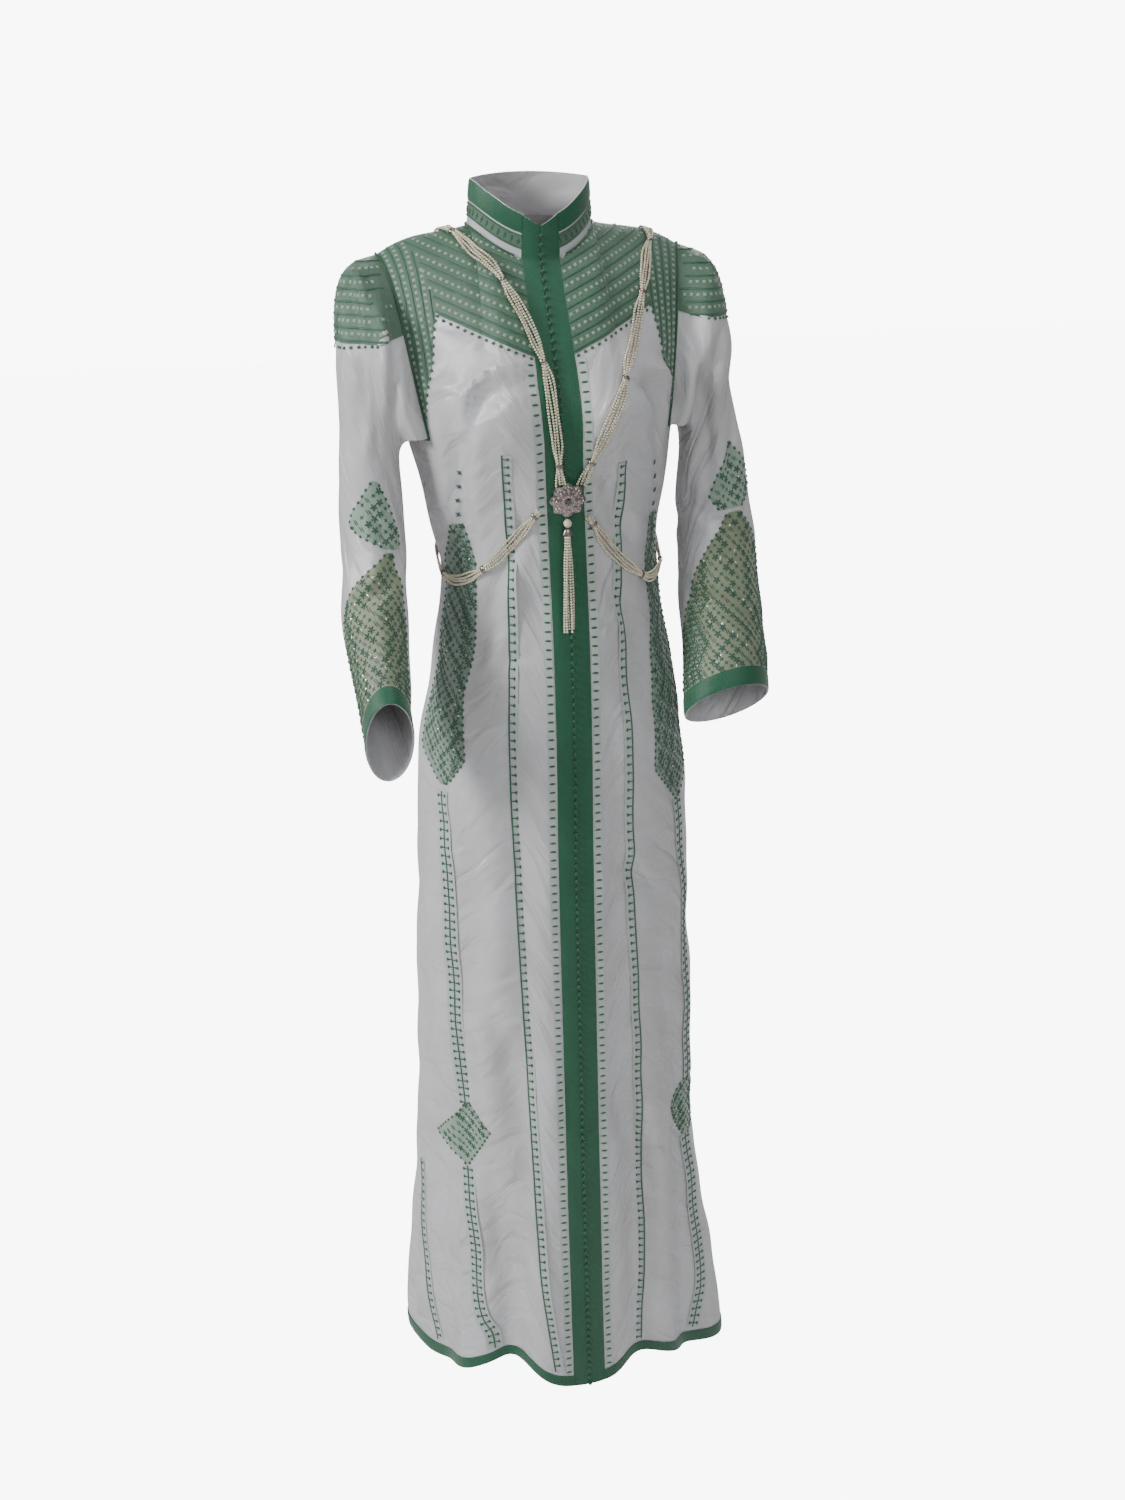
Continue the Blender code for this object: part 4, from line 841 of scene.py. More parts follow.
def middle_share(count):
    """0 at both ends of a row of this many points and 1 in its middle: 1 - way^4, way from -1 to 1."""
    way = np.linspace(-1, 1, count)
    return 1 - way**4


strip_points, strip_normals = {}, {}
for side, word in ((1, "left"), (-1, "right")):
    columns = slice(0, PLACKET_COLUMNS + 1)
    collar_strip = (slice(0, -1), columns if side < 0 else slice(-1, -PLACKET_COLUMNS - 2, -1))
    front = panels["front_" + word]
    strip_points[word] = np.concatenate([collar_points[collar_strip], front.points[:, columns]])
    strip_normals[word] = np.concatenate([collar_normals[collar_strip], front.normals[:, columns]])
    made = braid_band("braid_placket_" + word, strip_points[word], strip_normals[word], side,
                      middle_share(PLACKET_COLUMNS + 1)[None, :], "placket_" + word)
band = (slice(0, COLLAR_BAND_ROWS), slice(PLACKET_COLUMNS, -PLACKET_COLUMNS))
made = braid_band("braid_collar", collar_points[band], collar_normals[band], -1,
                  middle_share(COLLAR_BAND_ROWS)[:, None], "collar_band")
for side, word in ((1, "left"), (-1, "right")):
    sleeve = panels["sleeve_" + word]
    cuff = slice(-DOWN_SLEEVE - 1, None)
    made = braid_band("braid_cuff_" + word, sleeve.points[cuff], sleeve.normals[cuff], sleeve.outward,
                      middle_share(DOWN_SLEEVE + 1)[:, None], "cuff_band_" + word, closed=True)


def round_hem(part, back):
    """The hem band's points or normals, from the right placket round the back to the left placket."""
    right = [getattr(panels[name], part)[-HEM_ROWS:] for name in ("front_right", "side_right")]
    left = [getattr(panels[name], part)[-HEM_ROWS:, ::-1] for name in ("side_left", "front_left")]
    first, *others = right + [back[-HEM_ROWS:, ::-1]] + left
    whole = np.concatenate([first] + [grid[:, 1:] for grid in others], axis=1)
    return whole[:, PLACKET_COLUMNS:-PLACKET_COLUMNS]


made = braid_band("braid_hem", round_hem("points", back_points), round_hem("normals", back_normals), -1,
                  middle_share(HEM_ROWS)[:, None] + HEM_FOLD, "hem_band")

# The green pipings: a thin cord covered in green silk, caught in the seam round each armhole and in
# the seam at the foot of the collar.
PIPING_WIDTH, PIPING_LIFT = 0.0013, 0.0005
CORD_SIDES = 6


def across_line(points, normals):
    """The direction across a line on the cloth, at right angles to its run and to the normals."""
    along = np.gradient(points, axis=0)
    across = np.cross(normals, along)
    return across / np.maximum(np.linalg.norm(across, axis=1, keepdims=True), 1e-12)


def cord_arrays(points, normals, half_width, depth, lift, closed=False):
    """A bar with an oval cut along points, standing off by the lift: points, faces and face sizes."""
    across = across_line(points, normals)
    turned = 2 * math.pi * np.arange(CORD_SIDES) / CORD_SIDES
    ring = (across[:, None] * (half_width * np.cos(turned))[None, :, None]
            + normals[:, None] * (lift + depth / 2 * (1 + np.sin(turned)))[None, :, None])
    count = len(points)
    place = np.arange(count * CORD_SIDES).reshape(count, CORD_SIDES)
    a, b = (place, np.roll(place, -1, axis=0)) if closed else (place[:-1], place[1:])
    quads = np.stack([a, np.roll(a, -1, axis=1), np.roll(b, -1, axis=1), b], axis=-1).reshape(-1, 4)
    faces, sizes = quads.ravel(), np.full(len(quads), 4)
    if not closed:
        faces = np.concatenate([faces, place[0][::-1], place[-1]])
        sizes = np.concatenate([sizes, [CORD_SIDES, CORD_SIDES]])
    return (points[:, None] + ring).reshape(-1, 3), faces, sizes


def joined(parts):
    """Several sets of points, faces and face sizes as one."""
    starts = np.concatenate([[0], np.cumsum([len(points) for points, _, _ in parts])[:-1]])
    return (np.concatenate([points for points, _, _ in parts]),
            np.concatenate([faces + start for (_, faces, _), start in zip(parts, starts)]),
            np.concatenate([sizes for _, _, sizes in parts]))


SILK_DARK, SILK_LIGHT = (0.002, 0.036, 0.013, 1), (0.005, 0.092, 0.034, 1)
silk, tree, shader = new_material("green_silk", Sheen_Weight=0.3, Specular_IOR_Level=0.4)
grain = object_texture(tree, "Noise", 700.0, Detail=3.0)
tint = object_texture(tree, "Noise", 40.0, Detail=1.0)
wire(tree, shader, Base_Color=two_tones(tree, tint, SILK_DARK, SILK_LIGHT),
     Roughness=ranged(tree, grain, 0.38, 0.65), Normal=raised(tree, grain, 0.5, 0.0003))

SLEEVE_LEAN_ROW = 3
for word in ("right", "left"):
    loop = armhole_loop(word, "points")
    sleeve_normals = panels["sleeve_" + word].normals[SLEEVE_LEAN_ROW]
    loop_normals = armhole_loop(word, "normals")[:-1] + sleeve_normals[: len(loop) - 1]
    loop_normals /= np.linalg.norm(loop_normals, axis=1, keepdims=True)
    made = mesh_object("piping_armhole_" + word, *cord_arrays(
        loop[:-1], loop_normals, PIPING_WIDTH, 2 * PIPING_WIDTH, PIPING_LIFT, closed=True), silk)
    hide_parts("armhole_piping_" + word)
foot = slice(PLACKET_COLUMNS + 1, -PLACKET_COLUMNS - 1)
made = mesh_object("piping_neck", *cord_arrays(collar_points[-1, foot], collar_normals[-1, foot],
                                               PIPING_WIDTH, 2 * PIPING_WIDTH, PIPING_LIFT), silk)
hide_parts("neck_piping")

# The knot buttons: small hard knots of the same green cord, in one close row down the middle of the
# placket, each with a loop of cord to both sides. They close the placket from the collar to the hem.
KNOT_PITCH, KNOT_LIFT, KNOT_SUNK, KNOT_FIRST_ROW = 0.0096, 0.0012, 0.6, 3
KNOT_RADIUS, LOOP_HALF_LENGTH, LOOP_HALF_WIDTH, LOOP_HEIGHT = 0.0023, 0.0021, 0.0007, 0.0008
Pad = namedtuple("Pad", "x y turned half_length half_width height")
PAD_SIDES, PAD_TOP = 6, 0.62


def pad_shape(*pads):
    """Rounded pads side by side as one small shape: each is an oval, turned by its degrees, whose top is
    smaller than its foot by the share PAD_TOP."""
    steps = 2 * math.pi * np.arange(PAD_SIDES) / PAD_SIDES
    place = np.arange(PAD_SIDES)
    after = np.roll(place, -1)
    quads = np.stack([place, after, after + PAD_SIDES, place + PAD_SIDES], axis=1)
    faces = np.concatenate([quads.ravel(), place[::-1], place + PAD_SIDES])
    sizes = np.array([4] * PAD_SIDES + [PAD_SIDES, PAD_SIDES])
    parts = []
    for pad in pads:
        oval = np.stack([pad.half_length * np.cos(steps), pad.half_width * np.sin(steps)], axis=1)
        c, s = math.cos(math.radians(pad.turned)), math.sin(math.radians(pad.turned))
        oval = oval @ np.array([[c, s], [-s, c]])
        foot_ring = np.column_stack([oval + [pad.x, pad.y], np.zeros(PAD_SIDES)])
        top_ring = np.column_stack([oval * PAD_TOP + [pad.x, pad.y], np.full(PAD_SIDES, pad.height)])
        parts.append((np.concatenate([foot_ring, top_ring]), faces, sizes))
    return joined(parts)


def ball_shape(radius, around, up):
    """A ball of rings between two poles, as points, faces and face sizes."""
    rise = math.pi * np.arange(1, up) / up
    turned = 2 * math.pi * np.arange(around) / around
    rings = np.stack([np.outer(np.sin(rise), np.cos(turned)), np.outer(np.sin(rise), np.sin(turned)),
                      np.repeat(np.cos(rise)[:, None], around, axis=1)], axis=-1).reshape(-1, 3)
    points = np.concatenate([[[0, 0, 1.0]], rings, [[0, 0, -1.0]]]) * radius
    place = 1 + np.arange((up - 1) * around).reshape(up - 1, around)
    after = np.roll(place, -1, axis=1)
    top = np.stack([np.zeros(around, int), place[0], after[0]], axis=1)
    low = np.stack([np.full(around, len(points) - 1), after[-1], place[-1]], axis=1)
    quads = np.stack([place[:-1], place[1:], after[1:], after[:-1]], axis=-1).reshape(-1, 4)
    return (points, np.concatenate([top.ravel(), low.ravel(), quads.ravel()]),
            np.array([3] * (2 * around) + [4] * len(quads)))


def stamped(shape, places, along, normals, sizes=1.0):
    """A copy of a small shape at each place, with its x along, its z on the normal, and its size."""
    points, faces, face_sizes = shape
    across = np.cross(normals, along)
    across /= np.linalg.norm(across, axis=1, keepdims=True)
    ahead_of = np.cross(across, normals)
    scaled = points[None] * np.broadcast_to(np.reshape(sizes, (-1, 1, 1)), (len(places), 1, 1))
    copies = (places[:, None] + scaled[..., :1] * ahead_of[:, None] + scaled[..., 1:2] * across[:, None]
              + scaled[..., 2:] * normals[:, None])
    all_faces = faces[None] + (np.arange(len(places)) * len(points))[:, None]
    return copies.reshape(-1, 3), all_faces.ravel(), np.tile(face_sizes, len(places))


def even_line(points, normals, pitch, start=0.5):
    """Places at an even pitch along a line of points, with the line's direction and the normals."""
    run = np.concatenate([[0], np.cumsum(np.linalg.norm(np.diff(points, axis=0), axis=1))])
    at = np.arange(start * pitch, run[-1], pitch)
    places = np.stack([np.interp(at, run, points[:, k]) for k in range(3)], axis=1)
    along = np.stack([np.interp(at, run, np.gradient(points[:, k], run)) for k in range(3)], axis=1)
    up = np.stack([np.interp(at, run, normals[:, k]) for k in range(3)], axis=1)
    return (places, along / np.linalg.norm(along, axis=1, keepdims=True),
            up / np.linalg.norm(up, axis=1, keepdims=True))


middle, middle_normals = (strips["right"][KNOT_FIRST_ROW:, 0] + strips["left"][KNOT_FIRST_ROW:, 0]
                          for strips in (strip_points, strip_normals))
middle = middle / 2
middle_normals /= np.linalg.norm(middle_normals, axis=1, keepdims=True)
places, along, up = even_line(middle, middle_normals, KNOT_PITCH)
knots = stamped(ball_shape(KNOT_RADIUS, 8, 6), places + up * (KNOT_LIFT + KNOT_SUNK * KNOT_RADIUS), along, up)
loops = pad_shape(*(Pad(0, side * KNOT_RADIUS, 90, LOOP_HALF_LENGTH, LOOP_HALF_WIDTH, LOOP_HEIGHT)
                    for side in (1, -1)))
made = mesh_object("knot_buttons", *joined([knots, stamped(loops, places + up * KNOT_LIFT, along, up)]), silk)
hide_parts("knot_row")

# The embroidery: green thread on a pale green ground, worked by machine before the cloth was cut. It
# edges the placket and the seams with rows of ticks. Each ground is a skin of close stitches on the
# cloth of its own panel, and each stitch is a raised pad of thread.
GROUND_LIFT, GROUND_THICKNESS, THREAD_LIFT = 0.0004, 0.00025, 0.0006
GROUND_NARROW, GROUND_WIDE, GROUND_EDGE, GROUND_INSET = 0.0090, 0.0104, 0.0008, 0.0002
TICK_PITCH, LINE_WIDTH, LINE_HEIGHT = 0.01025, 0.0009, 0.0009
TICK = (Pad(0, 0.0040, 90, 0.0038, 0.0010, 0.0008), Pad(0, 0.0062, 0, 0.0026, 0.0015, 0.0010))
PLAIN_TICK = (Pad(0, 0.0042, 90, 0.0042, 0.0015, 0.0008),)


def on_side(pads, side):
    """The pads as one shape, on the line's own side (1) or mirrored to its other side (-1)."""
    return pad_shape(*(pad._replace(y=side * pad.y) for pad in pads))


def thread_material(name, dark, light):
    """Embroidery thread: fine lines of thread across each stitch, in two tones of one colour."""
    material, tree, shader = new_material(name, Sheen_Weight=0.25, Specular_IOR_Level=0.5)
    strands = object_texture(tree, "Wave", 450.0, Distortion=4.0, Detail=2.0)
    tint = object_texture(tree, "Noise", 60.0, Detail=3.0)
    wire(tree, shader, Base_Color=two_tones(tree, maths(tree, "MULTIPLY", strands, tint), dark, light),
         Roughness=ranged(tree, tint, 0.32, 0.6), Normal=raised(tree, strands, 0.5, 0.0003))
    return material


green_thread = thread_material("green_thread", (0.010, 0.062, 0.034, 1), (0.034, 0.155, 0.090, 1))
pale_thread = thread_material("pale_thread", (0.200, 0.290, 0.220, 1), (0.360, 0.450, 0.370, 1))
faint_thread = thread_material("faint_thread", (0.400, 0.455, 0.425, 1), (0.520, 0.570, 0.545, 1))
full_thread = thread_material("full_thread", (0.042, 0.105, 0.060, 1), (0.105, 0.190, 0.120, 1))
olive_thread = thread_material("olive_thread", (0.165, 0.200, 0.125, 1), (0.300, 0.335, 0.225, 1))


def on_panel(panel, row, column):
    """The cloth's points and normals at these row and column numbers, between its grid points."""
    r = np.interp(row, panel.rows, np.arange(len(panel.rows)))
    c = np.interp(column, panel.columns, np.arange(len(panel.columns)))
    i, j = np.minimum(r.astype(int), len(panel.rows) - 2), np.minimum(c.astype(int), len(panel.columns) - 2)
    u, v = (r - i)[..., None], (c - j)[..., None]
    found = []
    for grid in (panel.points, panel.normals):
        found.append((grid[i, j] * (1 - u) + grid[i + 1, j] * u) * (1 - v)
                     + (grid[i, j + 1] * (1 - u) + grid[i + 1, j + 1] * u) * v)
    return found[0], found[1] / np.linalg.norm(found[1], axis=-1, keepdims=True)


def row_line(panel, rows, columns, count=240):
    """The line on a panel whose column follows a smooth curve through these rows and columns, or a
    straight line through only two."""
    row = np.linspace(rows[0], rows[-1], count)
    column = smooth_table(rows, columns, row) if len(rows) > 2 else np.interp(row, rows, columns)
    return on_panel(panel, row, column)


def skin(name, points, normals, outward, material):
    """A thin ground of close stitches over a grid of the cloth's points."""
    made = shell(name, points, normals, outward, GROUND_LIFT, GROUND_LIFT + GROUND_THICKNESS, material)
    return made


def ground_strip(name, points, normals, from_line, to_line, side, material):
    """A ground beside a line, between two distances from it, counted towards the wearer's side."""
    reach = side * np.linspace(from_line, to_line, 4)
    grid = points[:, None] + across_line(points, normals)[:, None] * reach[None, :, None]
    return skin(name, grid, np.repeat(normals[:, None], len(reach), axis=1), side, material)


def stitches(name, parts, material):
    """Many stitches as one piece."""
    made = mesh_object(name, *joined(parts), material)
    return made


def stitch_row(points, normals, pitch, *shapes):
    """Copies of each shape at an even pitch along a line."""
    places, along, up = even_line(points, normals, pitch)
    return [stamped(shape, places + up * THREAD_LIFT, along, up) for shape in shapes]


def thread_line(points, normals, half_width=LINE_WIDTH):
    """A raised line of stitches."""
    return cord_arrays(points, normals, half_width, LINE_HEIGHT, THREAD_LIFT)


# Each half of the body from the centre front round to the centre back, below the underarm
halves = {}
for side, word in ((1, "left"), (-1, "right")):
    both = []
    for part in ("points", "normals"):
        front, side_panel, back = side_grids(word, part)
        deep = YOKE_ROWS * DOWN_YOKE
        both.append(np.concatenate([front[deep:], side_panel[:, 1:], back[deep:, 1:]], axis=1))
    halves[word] = Panel(*both, side, skirt_down, np.arange(both[0].shape[1]) / ACROSS)

# The rows' ways down the cloth, as row and column numbers of the half body: a row with ticks towards
# the placket on each front, a double row down each side-front seam, and single rows at the sides and back
Way = namedtuple("Way", "kind rows columns")
WAYS = {
    "right": (
        Way("inner", (9.2, 13.0, 14.5, 18.8, 20.9, 23.2, 25.4, 28.4, 30.3, 30.9),
            (5.0, 5.9, 5.7, 5.05, 4.85, 4.6, 4.4, 3.95, 3.4, 3.2)),
        Way("double", (16.6, 18.3, 20.5, 22.5, 24.1), (11.6, 10.95, 10.78, 10.58, 10.3)),
        Way("double", (25.75, 27.7, 30.0, 30.4, 30.9), (10.26, 9.46, 8.66, 8.13, 7.9)),
        Way("single", (26.4, 28.6, 29.96, 30.9), (15.0, 14.53, 13.94, 13.35)),
        Way("single", (11.0, 18.0, 25.0, 30.9), (20.2, 20.0, 20.1, 20.2)),
    ),
    "left": (
        Way("inner", (9.5, 13.3, 15.9, 19.1, 22.9, 26.0, 29.2, 30.2, 30.9),
            (5.4, 5.6, 5.2, 5.15, 5.5, 5.8, 5.7, 5.4, 5.3)),
        Way("double", (17.2, 20.0, 24.2), (10.9, 11.3, 11.5)),
        Way("double", (25.75, 27.5, 30.7, 30.9), (11.38, 11.37, 10.72, 10.5)),
        Way("single", (26.0, 30.9), (15.0, 15.0)),
        Way("single", (11.0, 18.0, 25.0, 30.9), (20.2, 20.0, 20.1, 20.2)),
    ),
}
EDGE_ROWS, EDGE_COLUMNS = (5.4, 30.9), (2.1, 2.1)
dark_parts, row_count = [], 0
for side, word in ((1, "left"), (-1, "right")):
    towards, away = on_side(TICK, -side), on_side(TICK, side)
    edge = row_line(panels["front_" + word], EDGE_ROWS, EDGE_COLUMNS)
    dark_parts += stitch_row(*edge, TICK_PITCH, on_side(PLAIN_TICK, side))
    ground_strip("ground_placket_" + word, *edge, GROUND_INSET, GROUND_NARROW, side, faint_thread)
    for way in WAYS[word]:
        line = row_line(halves[word], way.rows, way.columns)
        shapes, outer = ((towards, away), GROUND_WIDE) if way.kind == "double" else ((towards,), GROUND_EDGE)
        dark_parts += [thread_line(*line)] + stitch_row(*line, TICK_PITCH, *shapes)
        ground_strip(f"ground_row_{word}_{row_count}", *line, -GROUND_WIDE, outer, side, faint_thread)
        row_count += 1
stitches("stitched_rows", dark_parts, green_thread)

# The yoke: slanting bands of embroidery that rise from the placket to the shoulders, so close that the
# ground is green. Beside the armhole the bands run upright and taper to a point, and a row of dark
# dots ends them all. The back carries the same bands.
YOKE_SLOPE, YOKE_PITCH, YOKE_SPOTS, YOKE_DOTS = 0.45, 0.0138, 0.0072, 0.0085
FRONT_LEVELS, BACK_LEVELS = np.arange(-0.1225, 0.0, YOKE_PITCH), np.arange(-0.150, 0.0, YOKE_PITCH)
YOKE_LINE, ARMHOLE_LINE, SHORTEST_BAND = 0.0012, 0.0011, 5
ARMHOLE_COLUMNS, SPOTS_BESIDE, ARMHOLE_TOP, ARMHOLE_POINTS = (10.35, 9.75, 9.1, 8.5), 0.31, 0.15, 160
ARMHOLE_ROWS, ARMHOLE_INNER = (0.0, 2.0, 4.3, 6.0, 7.4, 8.4), (9.5, 8.9, 8.25, 9.2, 10.2, 11.0)
GROUND_TOP, GROUND_BELOW, DOTS_BELOW = 0.12, 0.003, 0.12
DOT = pad_shape(Pad(0, 0, 0, 0.0022, 0.0018, 0.0010))
SPOT = pad_shape(Pad(0, 0, 45, 0.0025, 0.0013, 0.0005), Pad(0, 0, -45, 0.0025, 0.0013, 0.0006))


def level_rows(panel, level, slope):
    """For each column of a panel, the row where its height less the slope times its distance from the
    placket is the level, and whether the column reaches so high."""
    field = panel.points[..., 2] - slope * (np.abs(panel.points[..., 0]) - PLACKET_HALF_WIDTH)
    falling = np.minimum.accumulate(field, axis=0)
    found = np.array([np.interp(-level, -falling[:, c], panel.rows) for c in range(field.shape[1])])
    return found, field[0] > level


def band_line(panel, rows, kept):
    """The line through one row number for each kept column, or nothing where it is too short."""
    if kept.sum() < SHORTEST_BAND:
        return None
    columns = np.linspace(panel.columns[kept][0], panel.columns[kept][-1], 2 * kept.sum())
    return on_panel(panel, np.interp(columns, panel.columns[kept], rows[kept]), columns)


def worked(line, half_width):
    """A raised line of this half width, or a row of spots where no width is given."""
    return [thread_line(*line, half_width)] if half_width else stitch_row(*line, YOKE_SPOTS, SPOT)


def banded(panel, levels, slope, allowed):
    """The lines at all the levels and the rows of spots between them, as dark and pale stitches."""
    dark, pale = [], []
    for level in levels:
        for parts, height, half_width in ((dark, level, YOKE_LINE), (pale, level + YOKE_PITCH / 2, None)):
            rows, reached = level_rows(panel, height, slope)
            line = band_line(panel, rows, reached & allowed(rows, panel.columns))
            if line is not None:
                parts += worked(line, half_width)
    return dark, pale


def patch(name, panel, top, low, columns, material, steps=56):
    """A ground between two rows for each column, in this many steps down."""
    share = np.linspace(0, 1, steps)[:, None]
    rows = top + (np.broadcast_to(low, columns.shape) - top) * share
    points, normals = on_panel(panel, rows, np.broadcast_to(columns, rows.shape))
    return skin(name, points, normals, panel.outward, material)


def dotted(panel, low, columns):
    """The row of dots just below a ground's lower edge."""
    return stitch_row(*on_panel(panel, low + DOTS_BELOW, columns), YOKE_DOTS, DOT)


def between_edges(rows, columns):
    """Whether a place on a front is past the placket and inside the bands beside the armhole."""
    return (columns >= PLACKET_COLUMNS / ACROSS) & (columns < np.interp(rows, ARMHOLE_ROWS, ARMHOLE_INNER))


dark_parts, pale_parts = [], []
for word in ("right", "left"):
    panel = panels["front_" + word]
    dark, pale = banded(panel, FRONT_LEVELS, YOKE_SLOPE, between_edges)
    for column in ARMHOLE_COLUMNS:
        for parts, at, half_width in ((dark, column, ARMHOLE_LINE), (pale, column + SPOTS_BESIDE, None)):
            rows = np.linspace(ARMHOLE_TOP, ARMHOLE_ROWS[-1], ARMHOLE_POINTS)
            rows = rows[np.interp(rows, ARMHOLE_ROWS, ARMHOLE_INNER) < at]
            parts += worked(on_panel(panel, rows, np.full(len(rows), at)), half_width)
    slanted, _ = level_rows(panel, FRONT_LEVELS[0] - GROUND_BELOW, YOKE_SLOPE)
    upright = np.interp(panel.columns, ARMHOLE_INNER[2:], ARMHOLE_ROWS[2:])
    low = np.where(panel.columns < ARMHOLE_INNER[2], slanted, upright)[PLACKET_COLUMNS:]
    columns = panel.columns[PLACKET_COLUMNS:]
    patch("ground_yoke_" + word, panel, GROUND_TOP, low, columns, full_thread)
    dark_parts += dark + dotted(panel, low, columns)
    pale_parts += pale
    panel = panels["back_" + word]
    dark, pale = banded(panel, BACK_LEVELS, YOKE_SLOPE, lambda rows, columns: columns >= 0)
    low, _ = level_rows(panel, BACK_LEVELS[0] - GROUND_BELOW, YOKE_SLOPE)
    patch("ground_back_" + word, panel, GROUND_TOP, low, panel.columns, full_thread)
    dark_parts += dark + dotted(panel, low, panel.columns)
    pale_parts += pale

# The sleeve caps: level bands of the same work round the top of each sleeve, which end in a row
# of dots. A turned sleeve is the same grid with column 0 at its top in place of under the arm.
CAP_PITCH, CAP_TOP, CAP_LEAST = 0.0125, 0.03, 0.3
CAP_LEVELS = {"right": np.arange(-0.108, 0.0, CAP_PITCH), "left": np.arange(-0.096, 0.0, CAP_PITCH)}
turned_sleeves = {}
for word in ("right", "left"):
    sleeve = panels["sleeve_" + word]
    half = int(np.argmin(np.abs(sleeve.columns - SLEEVE_COLUMNS / 2)))
    turned = [np.concatenate([grid[:, half:], grid[:, 1 : half + 1]], axis=1)
              for grid in (sleeve.points, sleeve.normals)]
    columns = np.concatenate([sleeve.columns[half:] - SLEEVE_COLUMNS, sleeve.columns[1 : half + 1]])
    turned_sleeves[word] = panel = Panel(*turned, sleeve.outward, sleeve.rows, columns)
    dark, pale = banded(panel, CAP_LEVELS[word], 0.0, lambda rows, columns: rows > CAP_TOP)
    low, reached = level_rows(panel, CAP_LEVELS[word][0] - GROUND_BELOW, 0.0)
    reached &= low > CAP_LEAST
    patch("ground_cap_" + word, panel, CAP_TOP, low[reached], columns[reached], full_thread)
    dark_parts += dark + dotted(panel, low[reached], columns[reached])
    pale_parts += pale
stitches("yoke_lines", dark_parts, green_thread)
stitches("yoke_spots", pale_parts, pale_thread)

# The collar: a row of ticks between two lines, worked on the satin under the green band, from one
# placket edge round the back of the neck to the other.
COLLAR_TICK = pad_shape(Pad(0, 0, 90, 0.0042, 0.0011, 0.0008), Pad(0, 0, 0, 0.0022, 0.0010, 0.0010))
COLLAR_TICK_PITCH, COLLAR_LINE, COLLAR_END, COLLAR_POINTS = 0.0078, 0.0007, 2.0, 220
COLLAR_GROUND_ROWS, COLLAR_LINE_ROWS = (1.0, 1.64), (1.06, 1.32, 1.58)
collar = panels["collar"]
columns = np.linspace(COLLAR_END, collar.columns[-1] - COLLAR_END, COLLAR_POINTS)
upper, middle, lower = (on_panel(collar, np.full(len(columns), row), columns) for row in COLLAR_LINE_ROWS)
patch("ground_collar", collar, *COLLAR_GROUND_ROWS, columns, full_thread, steps=6)
stitches("collar_stitches", [thread_line(*upper, COLLAR_LINE), thread_line(*lower, COLLAR_LINE)]
         + stitch_row(*middle, COLLAR_TICK_PITCH, COLLAR_TICK), green_thread)

# The flower motifs: an arrowhead and a wide triangle down to the cuff on each sleeve, a long leaf over
# each hip and a diamond below it. Each is a ground with florets, crosses and dashes in slanting rows
# and dark dots round its edge, with a few bright sequins.
Edge = namedtuple("Edge", "row left right")
Motif = namedtuple("Motif", "name place word ground edges lean", defaults=(0.0,))
MOTIFS = (
    Motif("arrow_right", "sleeve", "right", "pale",
          (Edge(5.75, 5.1, 5.4), Edge(6.3, 4.2, 6.2), Edge(6.88, 3.14, 6.8), Edge(7.4, 5.8, 7.1))),
    Motif("triangle_right", "sleeve", "right", "olive",
          (Edge(7.5, 5.8, 6.3), Edge(8.4, 4.0, 6.9), Edge(9.24, 2.13, 7.2), Edge(10.2, 0.6, 8.0),
           Edge(12.0, -1.6, 9.3))),
    Motif("arrow_left", "sleeve", "left", "pale",
          (Edge(5.5, 4.3, 4.6), Edge(6.1, 3.3, 5.6), Edge(6.6, 2.4, 6.2), Edge(7.0, 4.3, 5.6))),
    Motif("triangle_left", "sleeve", "left", "olive",
          (Edge(7.1, 4.5, 5.1), Edge(8.3, 2.6, 6.9), Edge(9.7, 0.6, 9.5), Edge(10.4, -0.5, 10.5),
           Edge(12.0, -1.6, 10.9))),
    Motif("waist_right", "half", "right", "green",
          (Edge(10.8, 10.3, 11.2), Edge(11.6, 9.3, 12.4), Edge(13.2, 9.52, 13.0), Edge(14.3, 10.2, 13.4),
           Edge(15.1, 9.8, 13.7), Edge(15.8, 9.43, 13.6), Edge(16.44, 11.4, 11.8))),
    Motif("waist_left", "half", "left", "green",
          (Edge(10.8, 9.6, 11.2), Edge(12.65, 9.44, 12.4), Edge(13.9, 8.7, 13.0), Edge(14.8, 8.0, 13.4),
           Edge(16.3, 7.8, 13.4), Edge(17.2, 10.7, 11.1))),
    Motif("diamond_right", "half", "right", "pale",
          (Edge(24.1, 9.95, 10.35), Edge(24.88, 7.6, 12.9), Edge(25.7, 10.05, 10.45)), 0.085),
    Motif("diamond_left", "half", "left", "pale",
          (Edge(24.2, 11.3, 11.7), Edge(24.95, 9.2, 13.7), Edge(25.75, 11.2, 11.6)), 0.085),
)
GROUNDS = {"pale": pale_thread, "olive": olive_thread,
           "green": thread_material("hip_thread", (0.170, 0.225, 0.185, 1), (0.310, 0.380, 0.325, 1))}
PETALS, PETAL_REACH = 5, 0.0026
PETAL_ANGLES = [2 * math.pi * k / PETALS for k in range(PETALS)]
FLORET = pad_shape(*(Pad(PETAL_REACH * math.cos(a), PETAL_REACH * math.sin(a), math.degrees(a),
                         0.0020, 0.0012, 0.0008) for a in PETAL_ANGLES), Pad(0, 0, 0, 0.0011, 0.0011, 0.0012))
SMALL_CROSS = pad_shape(Pad(0, 0, 45, 0.0030, 0.0008, 0.0007), Pad(0, 0, -45, 0.0030, 0.0008, 0.0008))
DASHES = pad_shape(Pad(0, 0.0013, 30, 0.0042, 0.0006, 0.0006), Pad(0, -0.0013, 30, 0.0042, 0.0006, 0.0006))
SEQUIN = pad_shape(Pad(0, 0, 0, 0.0014, 0.0014, 0.0004))
